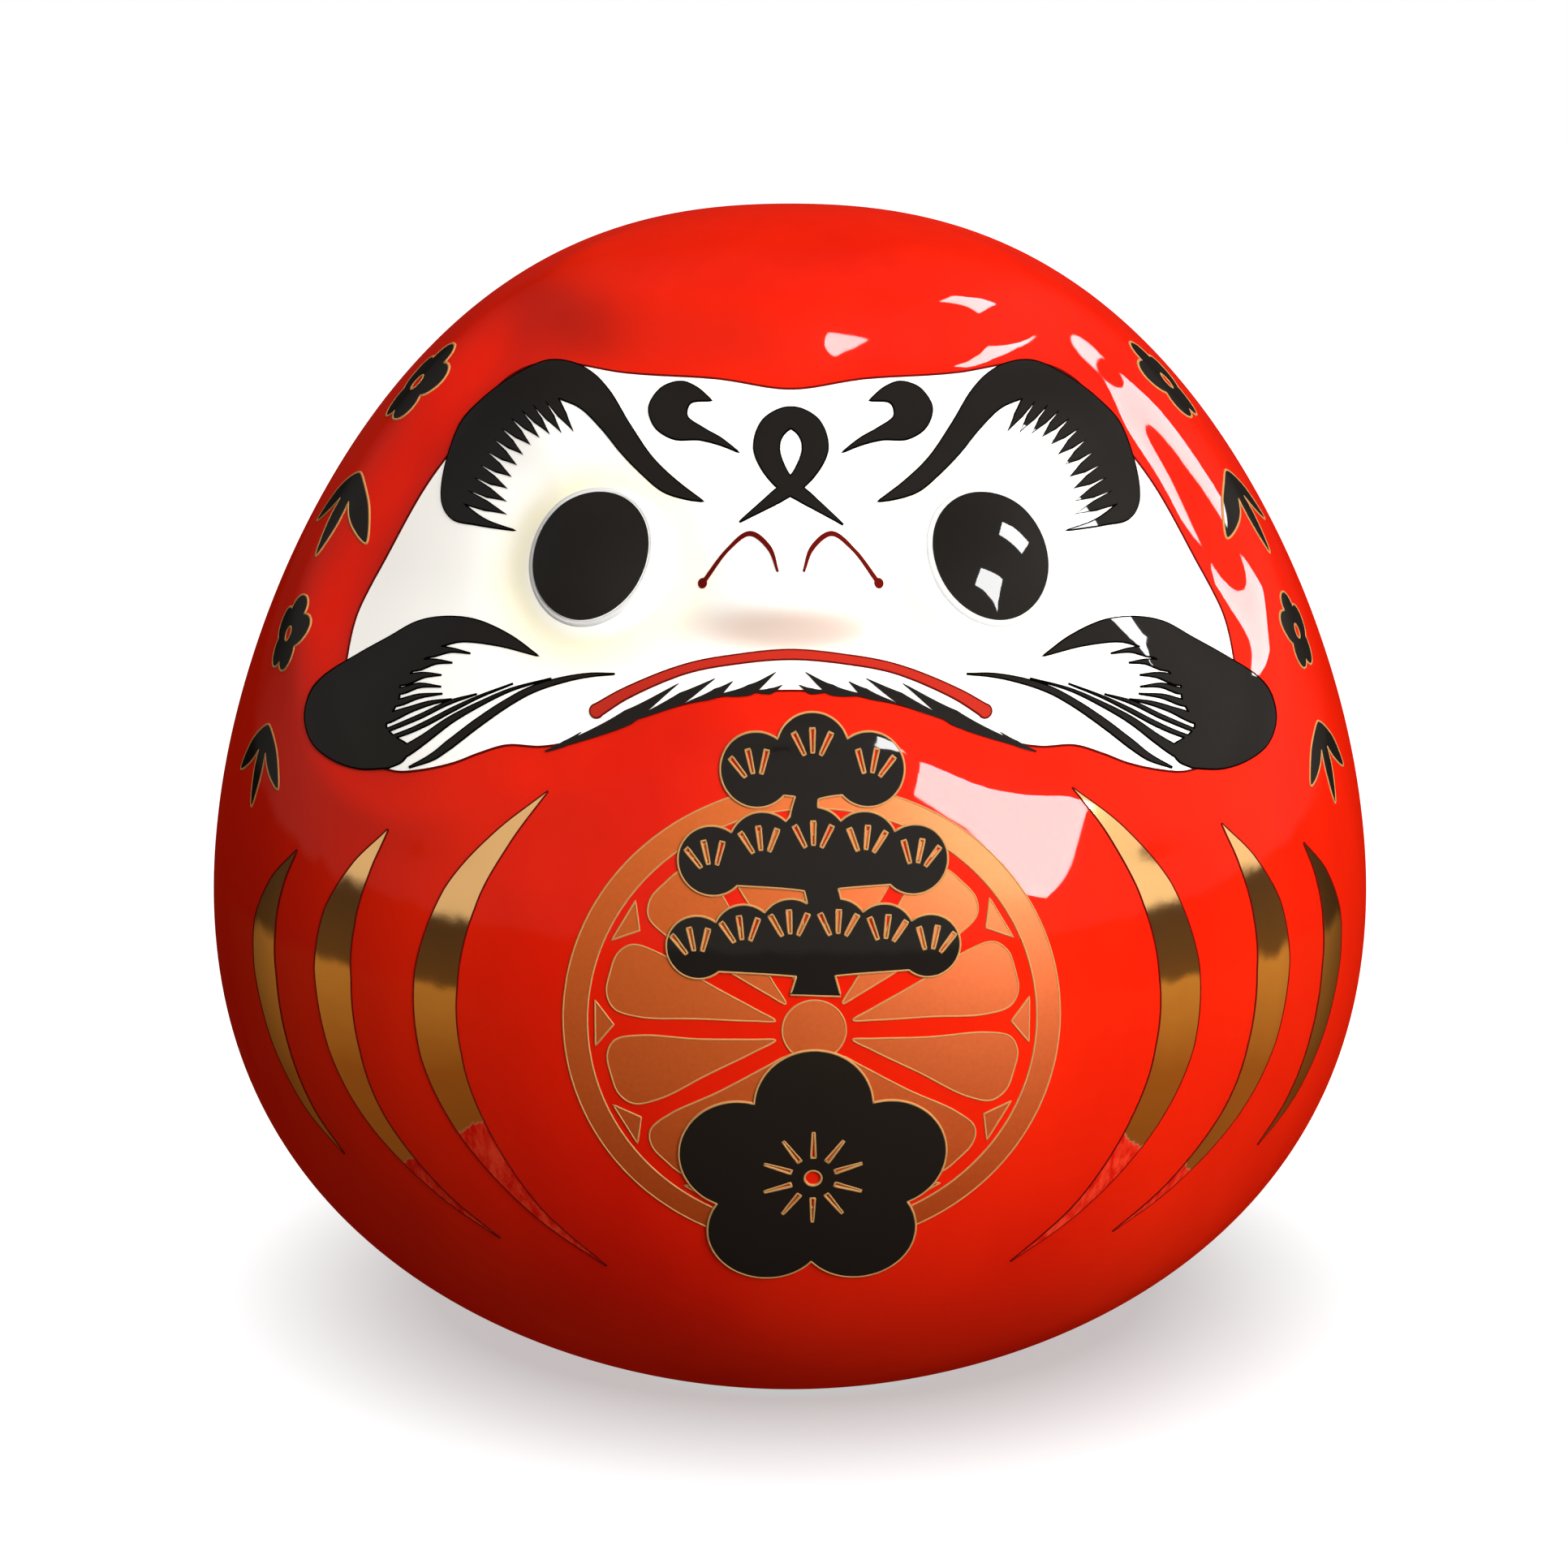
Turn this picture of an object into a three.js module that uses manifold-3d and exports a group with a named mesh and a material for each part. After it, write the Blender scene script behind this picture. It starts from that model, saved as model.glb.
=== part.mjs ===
// Glazed ceramic daruma coin bank, drawn in millimetres with +Z up and the face towards -Y.
// A hollow slip-cast shell stands on four foam pads, with a coin slot in its back and a pull-out
// stopper in its base. Each enamel mark is a thin fired-on layer that follows the glaze under it.
import * as THREE from 'three';
import { mergeVertices } from 'three/addons/utils/BufferGeometryUtils.js';
import Module from 'manifold-3d';

const wasm = await Module();
wasm.setup();

// Driving dimensions of the body
const HEIGHT = 195.4;
const HALF_WIDTH = 98;
const DEPTH_RATIO = 0.94; // front-to-back size over width
const SINK = 5.2; // how far the egg outline runs on below the floor
const CROWN_POWER = 0.425; // how blunt the crown is
const SEAT_POWER = 0.58; // how blunt the underside is
const LEAN = 0.306; // moves the widest level down
const SWELL = 0.106; // fills out crown and seat together
const WALL = 4.5;

// Foot, base plate, stopper and coin slot
const FOOT_LEVEL = 1;
const RECESS_RADIUS = 23;
const PLATE_BOTTOM = 4.5;
const PLATE_TOP = 9;
const HOLE_RADIUS = 13;
const GAP = 0.3;
const STOPPER_FLANGE_RADIUS = 16;
const STOPPER_FLANGE_THICKNESS = 2;
const STOPPER_TOP = 13;
const STOPPER_WALL = 3;
const PAD_RADIUS = 3.6;
const PAD_RING_RADIUS = 27.4;
const SLOT_WIDTH = 36;
const SLOT_HEIGHT = 5.2;
const SLOT_LEVEL = 140;

// Relief of the face, in the front chart: x across, z up, millimetres
const FACE_DEPTH_TOP = 5;
const FACE_DEPTH_CHIN = 1.4;
const LEDGE_WIDTH = 8;
const EYE = { x: 30, z: 147, dome: 4.6, domeRadius: 15.5, socket: 1.6, socketRadius: 23 };
const NOSE = { bottom: 135, top: 160, height: 8, baseWidth: 21, bridgeWidth: 8 };

// Enamel layers
const LAYER = 0.32; // thickness of one enamel layer
const BELLY_TURN = 2; // degrees that the belly and robe marks sit round from the front

const MATERIALS = {
  red: { color: 0xd9200f, roughness: 0.12, metalness: 0 },
  white: { color: 0xf7f3ea, roughness: 0.14, metalness: 0 },
  black: { color: 0x181614, roughness: 0.12, metalness: 0 },
  crimson: { color: 0xb3161a, roughness: 0.15, metalness: 0 },
  lustre: { color: 0xc9974a, roughness: 0.18, metalness: 1 },
  crest: { color: 0xd2802f, roughness: 0.35, metalness: 0.6 },
  stopper: { color: 0xd8d4ca, roughness: 0.55, metalness: 0 },
  pad: { color: 0x2a2a2c, roughness: 0.9, metalness: 0 },
};

const doll = new THREE.Group();

function add(name, geometry, finish) {
  const mesh = new THREE.Mesh(geometry, new THREE.MeshStandardMaterial(MATERIALS[finish]));
  mesh.name = name;
  doll.add(mesh);
  return mesh;
}

// ---------------------------------------------------------------- body surface

const MIDDLE = (HEIGHT - SINK) / 2;
const HALF_LENGTH = (HEIGHT + SINK) / 2;
const LAST_STEP = 1e-6;

function eggShape(s) {
  return (1 - s) ** CROWN_POWER * (1 + s) ** SEAT_POWER * (1 - LEAN * s + SWELL * s * s);
}

function widestShape() {
  let widest = 0;
  for (let i = -990; i <= 990; i += 1) {
    widest = Math.max(widest, eggShape(i / 1000));
  }
  return widest;
}

const WIDEST = widestShape();

// Half-width of the body at height z
function bodyRadius(z) {
  const s = THREE.MathUtils.clamp((z - MIDDLE) / HALF_LENGTH, LAST_STEP - 1, 1 - LAST_STEP);
  return HALF_WIDTH * eggShape(s) / WIDEST;
}

// A bump that is 1 in the middle and runs out flat at distance 1
function bump(distance) {
  const inside = Math.max(0, 1 - distance * distance);
  return inside * inside;
}

const smooth = (value) => THREE.MathUtils.smoothstep(value, 0, 1);

// Right half of the white face's edge, from the middle of the brow round to the chin
const FACE_EDGE = [
  [0, 173.6], [12, 175], [27, 175.4], [40, 176.2], [47, 173.5], [55.5, 163], [62.5, 150.5],
  [68, 140], [71.8, 130], [70, 119], [62, 114], [52, 117.5], [42, 120.3], [31.7, 121.4],
  [21.6, 125.1], [10, 128.3], [0, 129.1],
];

// A smooth closed outline through the points, as a list of THREE.Vector2
function smoothOutline(points, count) {
  const through = points.map(([x, z]) => new THREE.Vector3(x, z, 0));
  const curve = new THREE.CatmullRomCurve3(through, true, 'centripetal');
  return curve.getPoints(count).slice(0, -1).map((p) => new THREE.Vector2(p.x, p.y));
}

function mirrored(points) {
  return points.map(([x, z]) => [-x, z]);
}

const faceLoop = [...mirrored(FACE_EDGE), ...FACE_EDGE.slice(1, -1).reverse()];
const FACE_OUTLINE = smoothOutline(faceLoop, 60);

// Distance to an outline, positive inside it
function signedDistance(outline, x, z) {
  let nearest = Infinity;
  let inside = false;
  outline.forEach((a, i) => {
    const b = outline[(i + 1) % outline.length];
    const along = new THREE.Vector2().subVectors(b, a);
    const share = ((x - a.x) * along.x + (z - a.y) * along.y) / along.lengthSq();
    const t = THREE.MathUtils.clamp(share, 0, 1);
    nearest = Math.min(nearest, Math.hypot(x - a.x - t * along.x, z - a.y - t * along.y));
    if ((a.y > z) !== (b.y > z) && x < a.x + (z - a.y) / along.y * along.x) {
      inside = !inside;
    }
  });
  return inside ? nearest : -nearest;
}

// The face lies in a hollow under the rolled lip of the hood, and rises again towards the nose
function hoodRelief(x, z) {
  const inwards = signedDistance(FACE_OUTLINE, x, z);
  const share = smooth((z - 118) / 26);
  const depth = THREE.MathUtils.lerp(FACE_DEPTH_CHIN, FACE_DEPTH_TOP, share);
  const floor = 1 - 0.45 * smooth(inwards / 25);
  const lip = 1.3 * share * bump((inwards + LEDGE_WIDTH + 3) / 8);
  return lip - depth * smooth((inwards + LEDGE_WIDTH) / LEDGE_WIDTH) * floor;
}

function eyeRelief(x, z) {
  const away = Math.hypot(Math.abs(x) - EYE.x, z - EYE.z);
  return EYE.dome * bump(away / EYE.domeRadius) - EYE.socket * bump(away / EYE.socketRadius);
}

function noseRelief(x, z) {
  const rise = THREE.MathUtils.clamp((z - NOSE.bottom) / (NOSE.top - NOSE.bottom), 0, 1);
  const width = THREE.MathUtils.lerp(NOSE.baseWidth, NOSE.bridgeWidth, rise);
  const under = smooth((z - NOSE.bottom) / 7);
  return NOSE.height * under * (1 - rise) ** 1.3 * bump(x / width);
}

// Height of the sculpted face and robe over the plain egg, at a point of the front chart
function relief(x, z) {
  const side = Math.abs(x);
  const muzzle = 2.2 * bump(Math.hypot(x / 36, (z - 129) / 11));
  const brow = 1.6 * bump(Math.hypot((side - 35) / 22, (z - 167) / 10));
  const collar = 0.7 * bump(Math.hypot((side - 54) / 20, (z - 112) / 13));
  const fold = -0.3 * bump(Math.hypot((side - 36) / 13, (z - 106) / 9));
  return hoodRelief(x, z) + eyeRelief(x, z) + noseRelief(x, z) + muzzle + brow + collar + fold;
}

// Point of the skin at an azimuth (radians, 0 at the front) and height, lifted along its normal
function skinPoint(azimuth, z, lift) {
  const step = 0.01;
  const radius = bodyRadius(z);
  const slope = (bodyRadius(z + step) - bodyRadius(z - step)) / (2 * step);
  const sin = Math.sin(azimuth);
  const cos = Math.cos(azimuth);
  const normal = new THREE.Vector3(DEPTH_RATIO * sin, -cos, -slope * DEPTH_RATIO).normalize();
  const facing = smooth((cos - 0.2) * 3);
  const raised = lift + (facing > 0 ? facing * relief(radius * sin, z) : 0);
  return new THREE.Vector3(radius * sin, -DEPTH_RATIO * radius * cos, z).addScaledVector(normal, raised);
}

// ---------------------------------------------------------------- solids and cuts

function solid(geometry) {
  const bare = new THREE.BufferGeometry();
  bare.setAttribute('position', geometry.getAttribute('position').clone());
  bare.setIndex(geometry.getIndex());
  const merged = mergeVertices(bare, 1e-4);
  return new wasm.Manifold(new wasm.Mesh({
    numProp: 3,
    vertProperties: new Float32Array(merged.getAttribute('position').array),
    triVerts: new Uint32Array(merged.getIndex().array),
  }));
}

function toGeometry(manifold) {
  const mesh = manifold.getMesh();
  const geometry = new THREE.BufferGeometry();
  geometry.setAttribute('position', new THREE.BufferAttribute(mesh.vertProperties, 3));
  geometry.setIndex(new THREE.BufferAttribute(mesh.triVerts, 1));
  return geometry;
}

// Azimuths of the grid lines, close together across the face and wide apart at the back
function azimuths(frontSteps, backSteps) {
  const front = THREE.MathUtils.degToRad(66);
  const list = [];
  for (let i = 0; i < frontSteps; i += 1) {
    list.push(-front + 2 * front * i / frontSteps);
  }
  for (let i = 0; i < backSteps; i += 1) {
    list.push(front + (2 * Math.PI - 2 * front) * i / backSteps);
  }
  return list;
}

// Heights of the grid lines: opening out from the seat, even over the face, closing in on the crown
function levels(bottom, seatSteps, faceSteps, crownSteps) {
  const faceBottom = 106;
  const faceTop = 182;
  const crown = HEIGHT - 0.05;
  const list = [];
  for (let i = 0; i < seatSteps; i += 1) {
    list.push(bottom + (faceBottom - bottom) * (i / seatSteps) ** 1.35);
  }
  for (let i = 0; i < faceSteps; i += 1) {
    list.push(faceBottom + (faceTop - faceBottom) * i / faceSteps);
  }
  for (let i = 0; i < crownSteps; i += 1) {
    list.push(crown - (crown - faceTop) * (1 - i / crownSteps) ** 2.2);
  }
  return list;
}

// A closed body bounded by the skin lifted by a distance, flat at the bottom
function skinSolid(lift, heights, around) {
  const points = [];
  heights.forEach((z) => around.forEach((azimuth) => points.push(skinPoint(azimuth, z, lift))));
  const count = around.length;
  const lowest = points[0].z;
  points.push(new THREE.Vector3(0, 0, lowest), new THREE.Vector3(0, 0, HEIGHT + lift));
  const bottom = points.length - 2;
  const top = points.length - 1;
  const last = (heights.length - 1) * count;
  const index = [];
  around.forEach((azimuth, i) => {
    const next = (i + 1) % count;
    for (let row = 0; row < heights.length - 1; row += 1) {
      const low = row * count;
      const high = low + count;
      index.push(low + i, low + next, high + next, low + i, high + next, high + i);
    }
    index.push(bottom, next, i, top, last + i, last + next);
  });
  const geometry = new THREE.BufferGeometry();
  geometry.setFromPoints(points);
  geometry.setIndex(index);
  return solid(geometry);
}

// A solid of revolution about Z from [radius, height] pairs
function turned(profile, segments) {
  const geometry = new THREE.LatheGeometry(profile.map(([r, z]) => new THREE.Vector2(r, z)), segments);
  return geometry.rotateX(Math.PI / 2);
}

function disc(radius, bottom, top, segments) {
  return turned([[0, bottom], [radius, bottom], [radius, top], [0, top]], segments);
}

// ---------------------------------------------------------------- shell, stopper and pads

const fineLevels = levels(FOOT_LEVEL, 8, 12, 4);
const fineAzimuths = azimuths(28, 14);
const TURN_SEGMENTS = 32;

function coinSlot() {
  const outline = new THREE.Shape();
  const end = SLOT_WIDTH / 2 - SLOT_HEIGHT / 2;
  outline.absarc(end, 0, SLOT_HEIGHT / 2, -Math.PI / 2, Math.PI / 2);
  outline.absarc(-end, 0, SLOT_HEIGHT / 2, Math.PI / 2, Math.PI * 1.5);
  const cutter = new THREE.ExtrudeGeometry(outline, { depth: 60, bevelEnabled: false, curveSegments: 5 });
  return cutter.rotateX(Math.PI / 2).translate(0, HALF_WIDTH + 5, SLOT_LEVEL);
}

function bodyShell() {
  const cavityLevels = levels(FOOT_LEVEL + 4, 5, 6, 3);
  const belowPlate = new THREE.BoxGeometry(3 * HALF_WIDTH, 3 * HALF_WIDTH, 20);
  belowPlate.translate(0, 0, PLATE_TOP - 10);
  const cavity = skinSolid(-WALL, cavityLevels, azimuths(14, 10)).subtract(solid(belowPlate));
  const recess = disc(RECESS_RADIUS, -5, PLATE_BOTTOM, TURN_SEGMENTS);
  const hole = disc(HOLE_RADIUS, 0, PLATE_TOP + 2, TURN_SEGMENTS);
  const shell = skinSolid(0, fineLevels, fineAzimuths)
    .subtract(cavity)
    .subtract(solid(recess))
    .subtract(solid(hole))
    .subtract(solid(coinSlot()));
  return toGeometry(shell);
}

function baseStopper() {
  const flangeTop = PLATE_BOTTOM - GAP;
  const flangeBottom = flangeTop - STOPPER_FLANGE_THICKNESS;
  const plug = HOLE_RADIUS - GAP;
  const bore = plug - STOPPER_WALL;
  const profile = [
    [0, flangeBottom + 1.2], [bore, flangeBottom + 1.2], [bore + 1, flangeBottom],
    [STOPPER_FLANGE_RADIUS - 0.5, flangeBottom], [STOPPER_FLANGE_RADIUS, flangeBottom + 0.5],
    [STOPPER_FLANGE_RADIUS, flangeTop], [plug, flangeTop], [plug, STOPPER_TOP - 2],
    [plug - 1, STOPPER_TOP], [bore, STOPPER_TOP], [bore, flangeTop + 2], [0, flangeTop + 2],
  ];
  return turned(profile, TURN_SEGMENTS);
}

add('body_shell', bodyShell(), 'red');
add('base_stopper', baseStopper(), 'stopper');

const PAD_THICKNESS = FOOT_LEVEL - 0.02;
for (let i = 0; i < 4; i += 1) {
  const angle = Math.PI / 4 + i * Math.PI / 2;
  const pad = add(`foot_pad_${i + 1}`, disc(PAD_RADIUS, 0, PAD_THICKNESS, 16), 'pad');
  pad.position.set(PAD_RING_RADIUS * Math.cos(angle), PAD_RING_RADIUS * Math.sin(angle), 0);
}

// ---------------------------------------------------------------- enamel marks

// The two stacked enamel layers, each a thin skin that clears what lies under it
function enamelLayer(level) {
  const bottom = GAP + level * (GAP + LAYER);
  const above = skinSolid(bottom + LAYER, fineLevels, fineAzimuths);
  return above.subtract(skinSolid(bottom, fineLevels, fineAzimuths));
}

const UNDER_LAYER = enamelLayer(0);
const UPPER_LAYER = enamelLayer(1);

// A mark's outline pushed through the body from the front, turned round by an azimuth in degrees
function prism(outline, turn) {
  const shape = new THREE.Shape(outline);
  const geometry = new THREE.ExtrudeGeometry(shape, { depth: HALF_WIDTH + 20, bevelEnabled: false });
  return solid(geometry.rotateX(Math.PI / 2).rotateZ(THREE.MathUtils.degToRad(turn)));
}

function addMark(name, layer, finish, prisms) {
  const cutter = prisms.reduce((joined, next) => joined.add(next));
  return add(name, toGeometry(layer.intersect(cutter)), finish);
}

// Outline of a brush stroke: a smooth line through points, with a width at each point
function stroke(points, widths, steps) {
  const line = new THREE.CatmullRomCurve3(points.map(([x, z]) => new THREE.Vector3(x, z, 0)));
  const width = new THREE.CatmullRomCurve3(widths.map((w, i) => new THREE.Vector3(w, i, 0)));
  const left = [];
  const right = [];
  for (let i = 0; i <= steps; i += 1) {
    const centre = line.getPoint(i / steps);
    const ahead = line.getTangent(i / steps);
    const half = Math.max(0.1, width.getPoint(i / steps).x / 2);
    left.push(new THREE.Vector2(centre.x - ahead.y * half, centre.y + ahead.x * half));
    right.unshift(new THREE.Vector2(centre.x + ahead.y * half, centre.y - ahead.x * half));
  }
  return [...left, ...right];
}

function circle(x, z, radius, count) {
  const round = new THREE.EllipseCurve(x, z, radius, radius);
  return round.getPoints(count).slice(0, -1);
}

function flip(outline) {
  return outline.map((p) => new THREE.Vector2(-p.x, p.y)).reverse();
}

// A mark and its mirror image, the viewer's left one first
function addPair(name, layer, finish, outlines, turn) {
  const mirror = outlines.map((outline) => prism(flip(outline), turn));
  addMark(`left_${name}`, layer, finish, mirror);
  addMark(`right_${name}`, layer, finish, outlines.map((outline) => prism(outline, turn)));
}

function leaningEllipse(centre, long, short, lean) {
  const round = new THREE.EllipseCurve(centre.x, centre.z, long, short, 0, Math.PI * 2, false, lean);
  return round.getPoints(24).slice(0, -1);
}

const EYEBROW = [
  [13.5, 156.2], [22, 162.8], [29.1, 171.9], [35.8, 176], [46.2, 173.2], [54.8, 165], [57.2, 156],
  [53, 151], [43.5, 150.9], [52.4, 154.5], [50.2, 160.9], [43.5, 167.5], [36.2, 170], [29.6, 165.7],
  [21, 158.2],
];
const WHISKERS = [
  [39, 133], [46.2, 136.3], [54.6, 137.2], [64.5, 133.3], [73.6, 124.1], [76, 117.5], [69, 113.4],
  [58.5, 114.6], [62.5, 119.5], [60.4, 126.4], [55, 132.2], [47, 133.4],
];
const BROW_COMMA = [
  [12.7, 171.7], [17.6, 174.5], [22.6, 170.1], [18.8, 165.3], [13.5, 165.5], [8.1, 163.8],
  [13.5, 167.2], [17, 169.2], [15.6, 171.2],
];
const BROW_LOOP = [
  [0, 170.9], [4.8, 169.2], [6.3, 165.2], [4.6, 161.2], [1.6, 158], [7.9, 153], [0, 156.4],
  [-7.9, 153], [-1.6, 158], [-4.6, 161.2], [-6.3, 165.2], [-4.8, 169.2],
];
const LOOP_HOLE = [[0, 167.6], [1.7, 164.8], [0, 160.6], [-1.7, 164.8]];
const NOSTRIL = [[1.9, 145.3], [3.2, 148.9], [6.2, 151.3], [9.6, 149.2], [13.4, 144.9]];
const MOUTH = [[-30, 125.6], [-21, 130.2], [0, 134.4], [21, 130.2], [30, 125.6]];
const CHIN_BEARD = [[35, 120.2], [26, 124], [17, 127.7], [9, 130], [1.5, 130.6]];
const LONG_STRAND = [[60, 115.5], [51, 121], [41, 127], [27, 131]];

function addFace() {
  addMark('face_panel', UNDER_LAYER, 'white', [prism(FACE_OUTLINE, 0)]);
  addPair('pupil', UPPER_LAYER, 'black', [leaningEllipse(EYE, 9.3, 8.3, 1.9)], 0);
  addPair('eyebrow', UPPER_LAYER, 'black', [smoothOutline(EYEBROW, 30)], 0);
  addPair('brow_comma', UPPER_LAYER, 'black', [smoothOutline(BROW_COMMA, 22)], 0);
  const loop = prism(smoothOutline(BROW_LOOP, 30), 0);
  const eyelet = prism(smoothOutline(LOOP_HOLE, 10), 0);
  addMark('brow_loop', UPPER_LAYER, 'black', [loop.subtract(eyelet)]);
  const nostril = stroke(NOSTRIL, [0.6, 1, 0.6], 8);
  addPair('nostril_line', UPPER_LAYER, 'crimson', [nostril], 0);
  const mouth = stroke(MOUTH, [1.8, 1.7, 1.8], 12);
  addMark('mouth_line', UPPER_LAYER, 'crimson', [prism(mouth, 0)]);
  const beard = stroke(CHIN_BEARD, [0.5, 2.2, 0.5], 7);
  addPair('chin_beard', UPPER_LAYER, 'black', [beard], 0);
  const strand = stroke(LONG_STRAND, [2.4, 1.6, 0.5], 6);
  addPair('whiskers', UPPER_LAYER, 'black', [smoothOutline(WHISKERS, 28), strand], 0);
}

const CREST = { z: 80, ringOuter: 37, ringInner: 33.4, petals: 12, petalTip: 31, hub: 5 };
const PETAL = [[2, -0.7], [24, -4.4], [CREST.petalTip, 0], [24, 4.4], [2, 0.7]];
const CREST_HEIGHT = 0.97; // the belly leans back, which shortens the round crest in the front chart

function onBelly(outline) {
  return outline.map((p) => new THREE.Vector2(p.x, CREST.z + p.y * CREST_HEIGHT));
}

function addCrest() {
  const rim = prism(onBelly(circle(0, 0, CREST.ringOuter, 30)), BELLY_TURN);
  const inside = prism(onBelly(circle(0, 0, CREST.ringInner, 30)), BELLY_TURN);
  addMark('crest_ring', UNDER_LAYER, 'crest', [rim.subtract(inside)]);
  const parts = [prism(onBelly(circle(0, 0, CREST.hub, 16)), BELLY_TURN)];
  for (let i = 0; i < CREST.petals; i += 1) {
    const angle = (i + 0.5) / CREST.petals * Math.PI * 2;
    const petal = smoothOutline(PETAL, 10);
    petal.forEach((p) => p.rotateAround(new THREE.Vector2(0, 0), angle));
    parts.push(prism(onBelly(petal), BELLY_TURN));
  }
  addMark('crest_rosette', UNDER_LAYER, 'crest', parts);
}

const PINE = [
  [0, 126], [9, 125], [13.5, 119.5], [8, 113.5], [19, 110.5], [20, 103], [11, 99.5], [21.5, 96.5],
  [21.5, 88.5], [6, 88.5], [5, 83.8], [0, 83.5],
];
const BLOSSOM_PETALS = 5;

// Five round petals about a centre, with a disc that joins them
function blossom(x, z, reach, turn, count) {
  const parts = [prism(circle(x, z, reach * 0.42, 10), turn)];
  for (let i = 0; i < BLOSSOM_PETALS; i += 1) {
    const angle = Math.PI / 2 + i / BLOSSOM_PETALS * Math.PI * 2;
    const out = reach * 0.57;
    const petal = circle(x + out * Math.cos(angle), z + out * Math.sin(angle), reach * 0.43, count);
    parts.push(prism(petal, turn));
  }
  return parts;
}

function addEmblems() {
  const pineLoop = [...PINE, ...mirrored(PINE).slice(1, -1).reverse()];
  addMark('pine_emblem', UPPER_LAYER, 'black', [prism(smoothOutline(pineLoop, 44), BELLY_TURN)]);
  addMark('plum_emblem', UPPER_LAYER, 'black', blossom(0, 56.5, 20.5, BELLY_TURN, 16));
}

const ROBE_STRIPES = [
  { name: 'inner', line: [[39, 113], [50.5, 100.5], [56.3, 84], [52.7, 62.5], [31, 38.5]], width: 6.8 },
  { name: 'middle', line: [[63.5, 104.5], [70.3, 94.7], [73.1, 82], [67.3, 60.5], [47.5, 41]], width: 6.2 },
  { name: 'outer', line: [[79, 98], [83.8, 90.5], [85.2, 81.3], [80.3, 61], [72.6, 49.7]], width: 4.2 },
];

function addRobeStripes() {
  ROBE_STRIPES.forEach(({ name, line, width }) => {
    const outline = stroke(line, [0.4, width * 0.75, width, width * 0.6, 0.4], 9);
    addPair(`${name}_robe_stripe`, UNDER_LAYER, 'lustre', [outline], BELLY_TURN);
  });
}

const SIDE_LEVELS = [168, 148.5, 129, 109.5];
const BAMBOO_LEAF = [[0, -12.5], [1.9, -6.5], [0.5, 0.5], [-0.5, 0.5], [-1.9, -6.5]];
const LEAF_ROOT = 5; // height of the point where the three leaves meet, over the mark's middle

function bambooLeaves(z, turn) {
  return [-50, 0, 50].map((lean) => {
    const leaf = smoothOutline(BAMBOO_LEAF, 10);
    leaf.forEach((p) => p.rotateAround(new THREE.Vector2(0, 0), THREE.MathUtils.degToRad(lean)));
    leaf.forEach((p) => p.add(new THREE.Vector2(0, z + LEAF_ROOT)));
    return prism(leaf, turn);
  });
}

function addSideMotifs() {
  ['left', 'right'].forEach((side) => {
    SIDE_LEVELS.forEach((z, i) => {
      const turn = (side === 'left' ? -1 : 1) * (71.5 - 2 * i) + BELLY_TURN / 2;
      const leafy = i % 2 === 1;
      const parts = leafy ? bambooLeaves(z, turn) : blossom(0, z, 6.2, turn, 8);
      addMark(`${side}_${leafy ? 'bamboo' : 'plum'}_mark_${i + 1}`, UNDER_LAYER, 'black', parts);
    });
  });
}

addFace();
addCrest();
addEmblems();
addRobeStripes();
addSideMotifs();

export default doll;
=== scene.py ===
"""Looks of a glazed ceramic daruma coin bank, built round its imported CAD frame.

The body is one slip-cast shell under a vermilion glaze. Every mark on it is an enamel, transfer
or lustre layer of its own, cut to its outline and laid on the glaze. Sizes are in millimetres in
the dataclasses and are turned to metres where a mesh is made. The face looks along -Y and +Z is up.
"""

from __future__ import annotations

import logging
import math
from dataclasses import dataclass, field
from enum import Enum
from typing import Iterable, Sequence

import bpy
import numpy as np
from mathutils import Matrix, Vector
from mathutils.geometry import delaunay_2d_cdt


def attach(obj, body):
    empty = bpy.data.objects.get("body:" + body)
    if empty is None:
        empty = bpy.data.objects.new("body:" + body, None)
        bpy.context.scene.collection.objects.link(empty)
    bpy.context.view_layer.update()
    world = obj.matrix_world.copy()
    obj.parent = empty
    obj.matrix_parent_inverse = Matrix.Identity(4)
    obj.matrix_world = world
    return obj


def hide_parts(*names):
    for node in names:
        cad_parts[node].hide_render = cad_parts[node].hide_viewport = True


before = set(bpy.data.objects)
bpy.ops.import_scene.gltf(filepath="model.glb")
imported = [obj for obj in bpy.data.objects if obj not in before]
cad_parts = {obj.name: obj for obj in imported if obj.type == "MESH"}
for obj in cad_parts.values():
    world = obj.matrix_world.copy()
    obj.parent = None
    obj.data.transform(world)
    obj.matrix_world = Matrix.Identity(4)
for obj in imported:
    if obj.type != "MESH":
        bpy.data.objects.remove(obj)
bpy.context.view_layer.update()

LOG = logging.getLogger("daruma")
MM = 0.001
Points = np.ndarray
PointList = Sequence[Sequence[float]]


# ------------------------------------------------------------------ curves and outlines


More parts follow.
